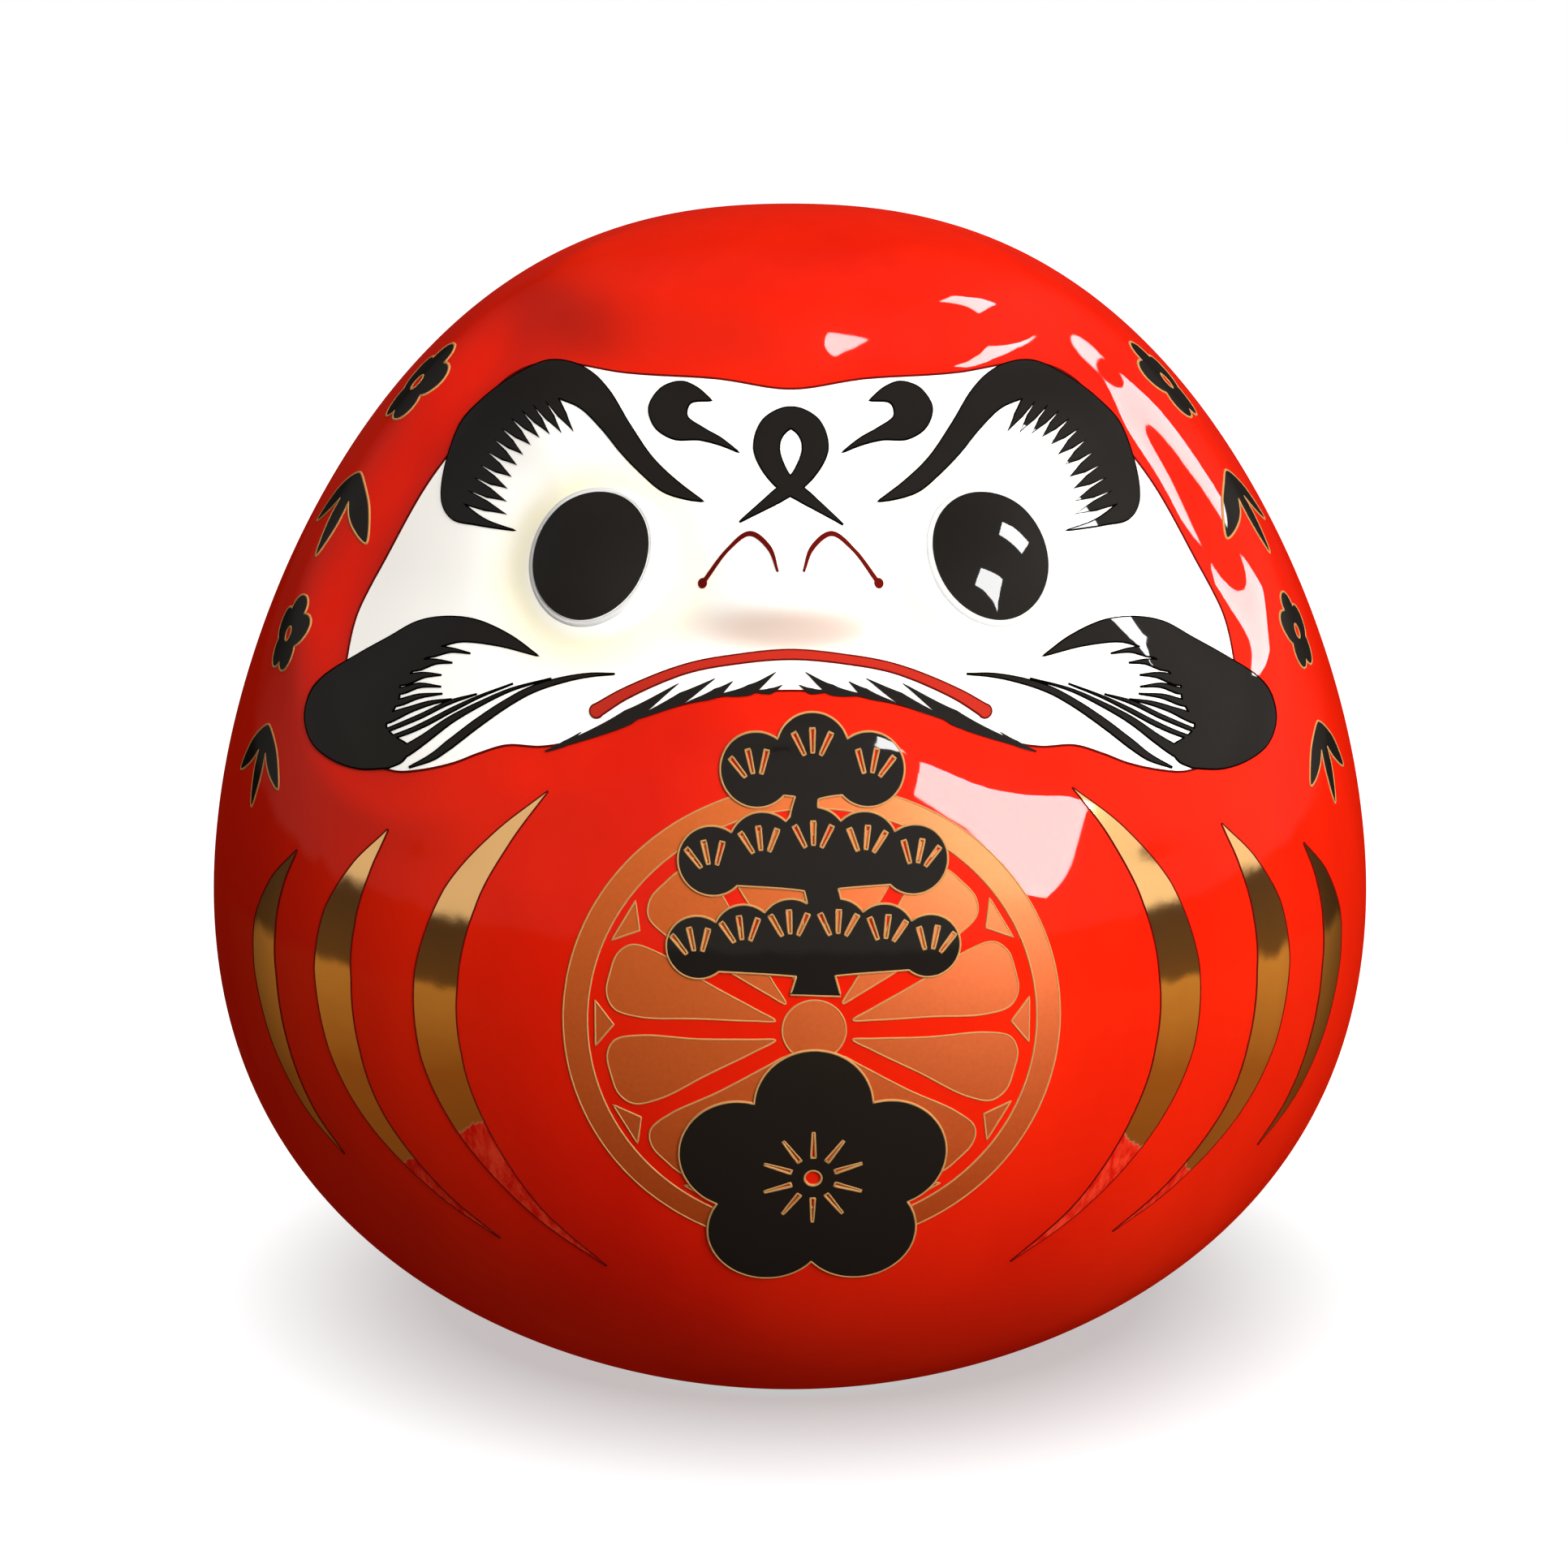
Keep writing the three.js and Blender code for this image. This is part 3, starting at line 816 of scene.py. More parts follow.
@dataclass(frozen=True)
class GoldLustre(Finish):
    """Fired gold lustre, brushed on: a mirror film that gives way to red specks at the stripes' tails.
    """

    under: str = "#E4180A"
    speck: str = "#FF4428"
    tail_slope: float = 0.78
    red_tail_start_mm: float = 102
    red_tail_full_mm: float = 97.5
    red_tail_roughness: float = 0.16
    streak_mm: float = 1.6
    streak_squash: float = 0.3
    film_edge: tuple[float, float] = (-0.32, -0.18)
    speck_edge: tuple[float, float] = (0.4, 0.62)

    def paint(
        self, tree: bpy.types.NodeTree, shader: bpy.types.Node, place: bpy.types.NodeSocket
    ) -> None:
        """Breaks the film up below a slanting line, in specks drawn out along the brush.

        Args:
            tree: the material's node tree.
            shader: its principled shader.
            place: the socket that gives each point's place in metres.
        """
        parts = add_node(tree, "SeparateXYZ", links={"Vector": place}).outputs
        side = add_node(tree, "Math", {"operation": "ABSOLUTE"}, {0: parts["X"]})
        level = add_node(
            tree, "Math", {"operation": "MULTIPLY_ADD", 1: self.tail_slope},
            {0: side.outputs[0], 2: parts["Z"]},
        )
        # the red tails: below a slanting line the film gives way to red specks and loses its metal
        red_tail = add_node(
            tree, "MapRange", {"From Min": self.red_tail_start_mm * MM, "From Max": self.red_tail_full_mm * MM},
            {"Value": level.outputs[0]},
        )
        drawn = add_node(tree, "Mapping", {"Scale": (1.0, 1.0, self.streak_squash)}, {"Vector": place})
        specks = add_node(
            tree, "TexNoise", {"Scale": per(self.streak_mm), "Detail": 6.0, "Roughness": 0.7},
            {"Vector": drawn.outputs["Vector"]},
        )
        above = add_node(
            tree, "Math", {"operation": "SUBTRACT"},
            {0: specks.outputs["Fac"], 1: red_tail.outputs["Result"]},
        )
        film = add_node(
            tree, "MapRange", {"From Min": self.film_edge[0], "From Max": self.film_edge[1]},
            {"Value": above.outputs[0]},
        ).outputs["Result"]
        speck_share = add_node(
            tree, "MapRange", {"From Min": self.speck_edge[0], "From Max": self.speck_edge[1]},
            {"Value": specks.outputs["Fac"]},
        )
        red_tail_colour = add_node(
            tree, "Mix", {"data_type": "RGBA", MIX_A: linear(self.under), MIX_B: linear(self.speck)},
            {MIX_FACTOR: speck_share.outputs["Result"]},
        )
        tint = add_node(
            tree, "Mix", {"data_type": "RGBA", MIX_B: linear(self.colour)},
            {MIX_FACTOR: film, MIX_A: red_tail_colour.outputs[MIX_RESULT]},
        )
        gloss = add_node(
            tree, "MapRange", {"To Min": self.red_tail_roughness, "To Max": self.roughness},
            {"Value": film},
        )
        tree.links.new(tint.outputs[MIX_RESULT], shader.inputs["Base Color"])
        tree.links.new(film, shader.inputs["Metallic"])
        tree.links.new(gloss.outputs["Result"], shader.inputs["Roughness"])


@dataclass(frozen=True)
class CrestTransfer(Finish):
    """Bronze-gold transfer print, fired on: satin, a little lighter towards the top.

    A screen's dots are about 0.2 mm apart. `grain_mm` draws them coarser, so that they show.
    """

    high: str = "#D4682A"
    grain_strength: float = 0.3
    metal: float = 0.12
    foot_mm: float = 45
    top_mm: float = 118
    grain_mm: float = 0.7

    def paint(
        self, tree: bpy.types.NodeTree, shader: bpy.types.Node, place: bpy.types.NodeSocket
    ) -> None:
        """Lightens the bronze with height and gives it the grain of a screened print.

        Args:
            tree: the material's node tree.
            shader: its principled shader.
            place: the socket that gives each point's place in metres.
        """
        height = add_node(tree, "SeparateXYZ", links={"Vector": place}).outputs["Z"]
        rise = add_node(
            tree, "MapRange", {"From Min": self.foot_mm * MM, "From Max": self.top_mm * MM},
            {"Value": height},
        )
        grain = add_node(tree, "TexNoise", {"Scale": per(self.grain_mm)}, {"Vector": place})
        share = add_node(
            tree, "Math",
            {"operation": "MULTIPLY_ADD", 1: self.grain_strength, 2: -self.grain_strength / 2},
            {0: grain.outputs["Fac"]},
        )
        total = add_node(
            tree, "Math", {"operation": "ADD", "use_clamp": True},
            {0: rise.outputs["Result"], 1: share.outputs[0]},
        )
        mix = add_node(
            tree, "Mix", {"data_type": "RGBA", MIX_A: linear(self.colour), MIX_B: linear(self.high)},
            {MIX_FACTOR: total.outputs[0]},
        )
        tree.links.new(mix.outputs[MIX_RESULT], shader.inputs["Base Color"])
        shader.inputs["Metallic"].default_value = self.metal


# Slip-cast earthenware dipped in vermilion glaze: a deep wet red under a clear gloss.
VERMILION = VermilionGlaze("vermilion glazed earthenware", "#FB260A", coat=0.16)
# Opaque white enamel, brushed on and fired: bright and even, with a soft gloss and a painted glow.
WHITE = FaceEnamel("white face enamel", "#F8F5EE", coat=0.3, painted_glow=0.41)
# The same enamel piled up round the pupils: a white lip that catches the light.
RIM_WHITE = Finish("bright white enamel", "#FDFCFA", coat=0.3)
# Black overglaze enamel, brushed on and fired: a warm near-black that mirrors the window.
BLACK = Finish("black overglaze enamel", "#211D1A", coat=0.22)
# Black ink drawn with a fine pen: a hard edge, darker than the brushed black.
INK = Finish("black ink line", "#050404", 0.2)
# Iron-red overglaze enamel, brushed on: a little paler and drier than the glaze.
CRIMSON = Finish("red mouth enamel", "#CC3020", coat=0.16)
# Manganese-red ink drawn with a fine pen: the thin dark edge of face, mouth and stripes.
OXBLOOD = Finish("oxblood ink line", "#6E130F", 0.25)
# Bright gold lustre, brushed on and fired: a thin mirror of metal that turns red at the tails.
LUSTRE = GoldLustre("fired gold lustre", "#EABB80", 0.06, ripple_mm=7, ripple_height_mm=0.03)
# The same gold drawn with a fine pen: too narrow to mirror, so it reads as a light line.
LUSTRE_LINE = Finish("fine gold line", "#D8A062", 0.25)
# Bronze-gold screen print on transfer paper, fired on: satin, with the grain of the screen.
CREST = CrestTransfer("bronze-gold transfer", "#AE420E", 0.5, specular=0.12)
# Unglazed bisque: dry, pale and sandy where the doll stands.
BISQUE = Finish("unglazed bisque foot", "#E9DFCE", 0.85, peel_mm=0.5, peel_height_mm=0.03)
# Soft vinyl, injection moulded: milky and dull, with the fine grain of the mould.
VINYL = Finish("moulded soft vinyl", "#D9D3C4", 0.42, peel_mm=0.6, peel_height_mm=0.01)
# Closed-cell foam, die cut: matt black, pitted with small pores.
FOAM = Finish("closed-cell foam", "#2A2A2C", 0.95, peel_mm=0.35, peel_height_mm=0.05)


# ------------------------------------------------------------------ meshes


class Body(Enum):
    """The CAD bodies that pieces ride on."""

    DOLL = "doll"
    STOPPER = "stopper"


def mesh_object(
    name: str,
    points: Points,
    faces: Iterable[Sequence[int]],
    finishes: Sequence[Finish],
    face_finish: Sequence[int] | None = None,
) -> bpy.types.Object:
    """Makes a smooth-shaded mesh object.

    Args:
        name: the piece's name.
        points: rows (x, y, z) in millimetres.
        faces: each face's point numbers, anticlockwise seen from outside.
        finishes: the finishes of the object's material slots.
        face_finish: each face's slot number, or None where all are 0.

    Returns:
        The object, linked to the scene.
    """
    mesh = bpy.data.meshes.new(name)
    mesh.from_pydata((np.asarray(points) * MM).tolist(), [], [list(f) for f in faces])
    for finish in finishes:
        mesh.materials.append(finish.material())
    if face_finish is not None:
        mesh.polygons.foreach_set("material_index", np.asarray(face_finish, np.int32))
    mesh.polygons.foreach_set("use_smooth", np.ones(len(mesh.polygons), bool))
    mesh.update()
    made = bpy.data.objects.new(name, mesh)
    bpy.context.scene.collection.objects.link(made)
    return made


def fit(piece: bpy.types.Object, body: Body, slot: str, *nodes: str) -> None:
    """Sets a piece on its body and hides the CAD nodes that it stands for.

    Args:
        piece: the piece.
        body: the CAD body that carries it.
        slot: the record's material slot; not used.
        nodes: the CAD nodes that it stands for, or none for added detail.
    """
    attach(piece, body.value)
    if nodes:
        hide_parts(*nodes)
    LOG.info("%s: %d faces for %s", piece.name, len(piece.data.polygons), nodes or "detail")


def ring_faces(rows: int, around: int) -> list[tuple[int, int, int, int]]:
    """Joins rows of points into a tube of quads, each row running round in the same direction.

    Args:
        rows: number of rings.
        around: number of points in each ring.

    Returns:
        Each quad's four point numbers.
    """
    step = np.arange(around)
    ahead = (step + 1) % around
    faces = []
    for row in range(rows - 1):
        low, high = row * around, (row + 1) * around
        faces += list(zip(low + step, low + ahead, high + ahead, high + step))
    return faces


@dataclass(frozen=True)
class Bead:
    """A fine raised line that follows the outline of a mark.

    `rise` is how far it stands over its mark, and `offset` how far outside the outline it runs.
    """

    finish: Finish
    slot: str
    width: float = 0.34
    rise: float = 0.07
    offset: float = 0.0

    def build(self, name: str, loops: list[Points], turn: float, lift: float) -> bpy.types.Object:
        """Runs the line round closed loops of the chart.

        Args:
            name: the piece's name.
            loops: closed outlines in the chart.
            turn: azimuth in degrees from which the chart is seen.
            lift: how far the mark's top stands over the glaze.

        Returns:
            One object with a closed ring for each loop.
        """
        points, faces = [], []
        section = [(-0.5, -0.12), (-0.42, 0.75), (0.0, 1.0), (0.42, 0.75), (0.5, -0.12)]
        start = 0
        for loop in loops:
            ahead = np.roll(loop, -1, axis=0) - np.roll(loop, 1, axis=0)
            ahead /= np.maximum(np.hypot(*ahead.T), 1e-9)[:, None]
            side = np.stack([ahead[:, 1], -ahead[:, 0]], 1)
            for across, up in section:
                place = loop + side * (across * self.width + self.offset)
                points.append(SURFACE.lay(place, turn, (lift + self.rise) * up))
            count = len(loop)
            faces += [tuple(start + i for i in f) for f in ring_faces(len(section), count)]
            last = start + (len(section) - 1) * count
            for i in range(count):
                j = (i + 1) % count
                faces.append((last + i, last + j, start + j, start + i))
            start += count * len(section)
        return mesh_object(name, np.vstack(points), faces, [self.finish])


@dataclass(frozen=True)
class Mark:
    """One enamel mark: outlines that are joined, less the ones that are cut out of it.

    The outlines lie in a chart, x across and z up, seen square on from the azimuth `turn`.
    """

    name: str
    nodes: tuple[str, ...]
    finish: Finish
    slot: str
    shapes: tuple[Points, ...]
    cuts: tuple[Points, ...] = ()
    turn: float = 0.0
    lift: float = 0.09
    bury: float = 0.12
    spacing: float = 1.6
    bead: Bead | None = None

    def inner_points(self) -> Points:
        """Spreads points evenly over the mark so that it follows the round body.

        Returns:
            The points, rows (x, z).
        """
        outlines = self.shapes + self.cuts
        every = np.vstack(outlines)
        low, high = every.min(0), every.max(0)
        x = np.arange(low[0], high[0], self.spacing) + self.spacing / 2
        z = np.arange(low[1], high[1], self.spacing) + self.spacing / 2
        grid = np.stack(np.meshgrid(x, z), -1).reshape(-1, 2)
        keep = np.ones(len(grid), bool)
        for outline in outlines:
            keep &= np.abs(signed_distance(grid, outline)) > 0.3 * self.spacing
        return grid[keep]

    def triangles(self) -> tuple[Points, list[list[int]]]:
        """Joins and cuts the outlines and fills what is left with triangles.

        Returns:
            The chart points and the triangles' point numbers, anticlockwise.
        """
        outlines = self.shapes + self.cuts
        corners, rings = [], []
        for outline in map(anticlockwise, outlines):
            rings.append(list(range(len(corners), len(corners) + len(outline))))
            corners += [Vector(p) for p in outline.tolist()]
        corners += [Vector(p) for p in self.inner_points().tolist()]
        found = delaunay_2d_cdt(corners, [], rings, 0, 1e-5, True)
        points = np.array([tuple(p) for p in found[0]])
        kept = []
        for face, sources in zip(found[2], found[5]):
            if sources and max(sources) < len(self.shapes):
                a, b, c = points[list(face[:3])]
                turned = (b[0] - a[0]) * (c[1] - a[1]) - (b[1] - a[1]) * (c[0] - a[0])
                kept.append(list(face) if turned > 0 else list(face)[::-1])
        used = sorted({i for face in kept for i in face})
        number = {old: new for new, old in enumerate(used)}
        return points[used], [[number[i] for i in face] for face in kept]

    @staticmethod
    def rim(faces: list[list[int]]) -> list[tuple[int, int]]:
        """Lists the edges round a patch of triangles, each as its two points in order."""
        edges = {(f[i], f[(i + 1) % len(f)]) for f in faces for i in range(len(f))}
        return sorted((a, b) for a, b in edges if (b, a) not in edges)

    @staticmethod
    def loops(rim: list[tuple[int, int]]) -> list[list[int]]:
        """Follows the rim's edges round into closed loops.

        Args:
            rim: the rim's edges, each as two point numbers.

        Returns:
            Each loop's point numbers in order.
        """
        ahead: dict[int, list[int]] = {}
        for a, b in rim:
            ahead.setdefault(a, []).append(b)
        found = []
        while ahead:
            first = next(iter(ahead))
            loop, step = [], first
            while step in ahead:
                loop.append(step)
                following = ahead[step].pop()
                if not ahead[step]:
                    del ahead[step]
                step = following
            found.append(loop)
        return found

    def build(self) -> list[bpy.types.Object]:
        """Makes the mark and its outline bead.

        Returns:
            The mark, and its bead if it has one.
        """
        chart, faces = self.triangles()
        rim = self.rim(faces)
        count = len(chart)
        top = SURFACE.lay(chart, self.turn, self.lift)
        bottom = SURFACE.lay(chart, self.turn, -self.bury)
        solid = [tuple(f) for f in faces]
        solid += [tuple(count + i for i in reversed(f)) for f in faces]
        solid += [(b, a, count + a, count + b) for a, b in rim]
        made = mesh_object(self.name, np.vstack([top, bottom]), solid, [self.finish])
        normal = SURFACE.normals(chart, self.turn)
        self.shade(made.data, len(faces), normal)
        fit(made, Body.DOLL, self.slot, *self.nodes)
        pieces = [made]
        if self.bead:
            rings = [chart[loop] for loop in self.loops(rim) if len(loop) > 6]
            line = self.bead.build(f"{self.name}_line", rings, self.turn, self.lift)
            fit(line, Body.DOLL, self.bead.slot)
            pieces.append(line)
        return pieces

    @staticmethod
    def shade(mesh: bpy.types.Mesh, top_faces: int, normal: Points) -> None:
        """Shades the top with the skin's own normals and keeps the sides crisp.

        Args:
            mesh: the mark's mesh.
            top_faces: how many of its faces, the first ones, are on top.
            normal: the skin's normal at each point of the top.
        """
        flat = np.arange(len(mesh.polygons)) >= top_faces
        mesh.polygons.foreach_set("use_smooth", ~flat)
        loops = np.zeros((len(mesh.loops), 3))
        corner_point = np.empty(len(mesh.loops), np.int32)
        mesh.loops.foreach_get("vertex_index", corner_point)
        face_start = np.empty(len(mesh.polygons), np.int32)
        mesh.polygons.foreach_get("loop_start", face_start)
        end = face_start[top_faces] if top_faces < len(face_start) else len(mesh.loops)
        loops[:end] = normal[corner_point[:end]]
        mesh.normals_split_custom_set(loops.tolist())


# ------------------------------------------------------------------ sub-assemblies


@dataclass(frozen=True)
class Shell:
    """The slip-cast body: glazed outside, unglazed foot ring, base recess, hole and cavity."""

    wall: float = 4.5
    foot_level: float = 1.0
    foot_round: float = 0.9
    recess_radius: float = 23
    recess_round: float = 0.8
    plate_bottom: float = 4.5
    plate_top: float = 9
    hole_radius: float = 13
    face_row_mm: float = 1.15
    plain_row_mm: float = 2.0
    front_columns: int = 250
    back_columns: int = 90
    front_degrees: float = 82
    slot_depth: float = 40

    def azimuths(self) -> Points:
        """Spaces the grid lines closely over the front and widely over the back.

        Returns:
            The grid lines' azimuths in radians.
        """
        front = math.radians(self.front_degrees)
        ahead = np.linspace(-front, front, self.front_columns, endpoint=False)
        behind = np.linspace(front, 2 * math.pi - front, self.back_columns, endpoint=False)
        return np.concatenate([ahead, behind])

    def levels(self) -> Points:
        """Spaces rows evenly along the skin from the foot to just short of the crown.

        Returns:
            The rows' heights, from the foot up.
        """
        z = np.concatenate([
            np.linspace(self.foot_level + 1.2, 190, 6000),
            SURFACE.height - 5.4 * (1 - np.linspace(0, 1, 4000)) ** 3,
        ])
        z = np.unique(z)
        along = np.hypot(np.diff(z), np.diff(SURFACE.radius(z)))
        middle = (z[1:] + z[:-1]) / 2
        on_face = smoothstep((middle - 92) / 8) * smoothstep((192 - middle) / 4)
        rows = along / (self.plain_row_mm + (self.face_row_mm - self.plain_row_mm) * on_face)
        total = np.concatenate([[0], np.cumsum(rows)])
        return np.interp(np.arange(math.floor(total[-1])), total, z)

    def foot_profile(self) -> list[tuple[float, float, float]]:
        """Lists the foot's rings as (radius, height, share of the body's flattening).

        Returns:
            The rings from the outer edge of the foot in to the cavity's floor.
        """
        r = SURFACE.radius(np.array([self.foot_level]))[0]
        inner, plate, hole = self.recess_radius, self.plate_bottom, self.hole_radius
        edge = self.recess_round
        return [
            (r + 0.6, self.foot_level + 0.35, 1),
            (r - self.foot_round, self.foot_level, 1),
            (inner + edge, self.foot_level, 0),
            (inner + 0.25, self.foot_level + 0.3, 0),
            (inner, self.foot_level + edge, 0),
            (inner, plate - edge, 0),
            (inner - 0.25, plate - 0.25, 0),
            (inner - edge, plate, 0),
            (hole + edge, plate, 0),
            (hole + 0.2, plate + 0.2, 0),
            (hole, plate + edge, 0),
            (hole, self.plate_top - edge, 0),
            (hole + 0.3, self.plate_top - 0.2, 0),
            (hole + 1.2, self.plate_top, 0),
            (40, self.plate_top, 0.5),
            (46, self.plate_top + 0.9, 1),
        ]

    def rings(self) -> tuple[list[Points], int, int]:
        """Lists every ring of the shell from the crown down, in through the foot and up inside.

        Returns:
            The rings, the number of glazed rings, and the number of rings before the cavity.
        """
        azimuth = self.azimuths()
        rings = []
        for z in self.levels()[::-1]:
            level = np.full_like(azimuth, z)
            on_face = 112 < z < 178
            sunk = SURFACE.under_face(azimuth, level) if on_face else 0.0
            rings.append(SURFACE.point(azimuth, level, -sunk))
        glazed = len(rings)
        for radius, z, share in self.foot_profile():
            flattening = 1 - (1 - SURFACE.depth_ratio) * share
            x = radius * np.sin(azimuth)
            y = -radius * flattening * np.cos(azimuth)
            rings.append(np.stack([x, y, np.full_like(x, z)], 1))
        before_cavity = len(rings)
        inside = np.concatenate([[12.5, 16, 21], np.linspace(28, 184, 24), [189, 192.5, 194.6]])
        rings += [SURFACE.point(azimuth, z, -self.wall) for z in inside]
        return rings, glazed, before_cavity

    def build(self) -> bpy.types.Object:
        """Makes the shell and cuts its coin slot.

        Returns:
            The shell's object.
        """
        rings, glazed, before_cavity = self.rings()
        around = len(rings[0])
        points = np.vstack(rings)
        faces = [tuple(reversed(f)) for f in ring_faces(len(rings), around)]
        slots = np.repeat(np.arange(len(rings) - 1), around)
        face_finish = np.where(slots < glazed, 0, 1)
        crown = np.array([[0, 0, SURFACE.height]])
        vault = np.array([[0, 0, SURFACE.height - self.wall]])
        points = np.vstack([points, crown, vault])
        top, inner_top = len(points) - 2, len(points) - 1
        last = (len(rings) - 1) * around
        for i in range(around):
            j = (i + 1) % around
            faces += [(top, i, j), (inner_top, last + j, last + i)]
        face_finish = np.concatenate([face_finish, np.tile([0, 1], around)])
        LOG.info("shell rows: %d glazed, %d in all", glazed, before_cavity)
        shell = mesh_object("glazed_shell", points, faces, [VERMILION, BISQUE], face_finish)
        self.cut_slot(shell)
        fit(shell, Body.DOLL, "red_glaze", "body_shell")
        return shell

    def cut_slot(self, shell: bpy.types.Object) -> None:
        """Cuts the coin slot straight through the back wall.

        Args:
            shell: the shell.
        """
        end, half = SURFACE.slot_half_width, SURFACE.slot_half_height
        arc = np.linspace(-math.pi / 2, math.pi / 2, 13)
        right = np.stack([end + half * np.cos(arc), half * np.sin(arc)], 1)
        outline = np.vstack([right, -right])
        back = SURFACE.half_width
        near, far = back - self.slot_depth, back + 10
        rows = []
        for y in (near, far):
            z = outline[:, 1] + SURFACE.slot_level
            rows.append(np.stack([outline[:, 0], np.full(len(outline), y), z], 1))
        count = len(outline)
        faces = [tuple(reversed(f)) for f in ring_faces(2, count)]
        faces += [tuple(range(count)), tuple(range(2 * count - 1, count - 1, -1))]
        cutter = mesh_object("slot_cutter", np.vstack(rows), faces, [VERMILION])
        cut = shell.modifiers.new("coin slot", "BOOLEAN")
        cut.operation = "DIFFERENCE"
        cut.solver = "EXACT"
        cut.object = cutter
        graph = bpy.context.evaluated_depsgraph_get()
        done = bpy.data.meshes.new_from_object(shell.evaluated_get(graph))
        shell.modifiers.clear()
        shell.data = done
        bpy.data.objects.remove(cutter)


def pair(
    name: str, finish: Finish, slot: str, shapes: Sequence[Points], **options: object
) -> list[Mark]:
    """Makes a mark for the doll's own right and left, given the one at positive x.

    Args:
        name: the mark's name without its side, which is also its CAD node's name.
        finish: the mark's finish.
        slot: the record's slot.
        shapes: the outlines at positive x.
        options: further fields of Mark.

    Returns:
        The mark on the viewer's left, then the one on the viewer's right.
    """
    flipped = tuple(mirrored(shape) for shape in shapes)
    return [
        Mark(f"enamel_left_{name}", (f"left_{name}",), finish, slot, flipped, **options),
        Mark(f"enamel_right_{name}", (f"right_{name}",), finish, slot, tuple(shapes), **options),
    ]


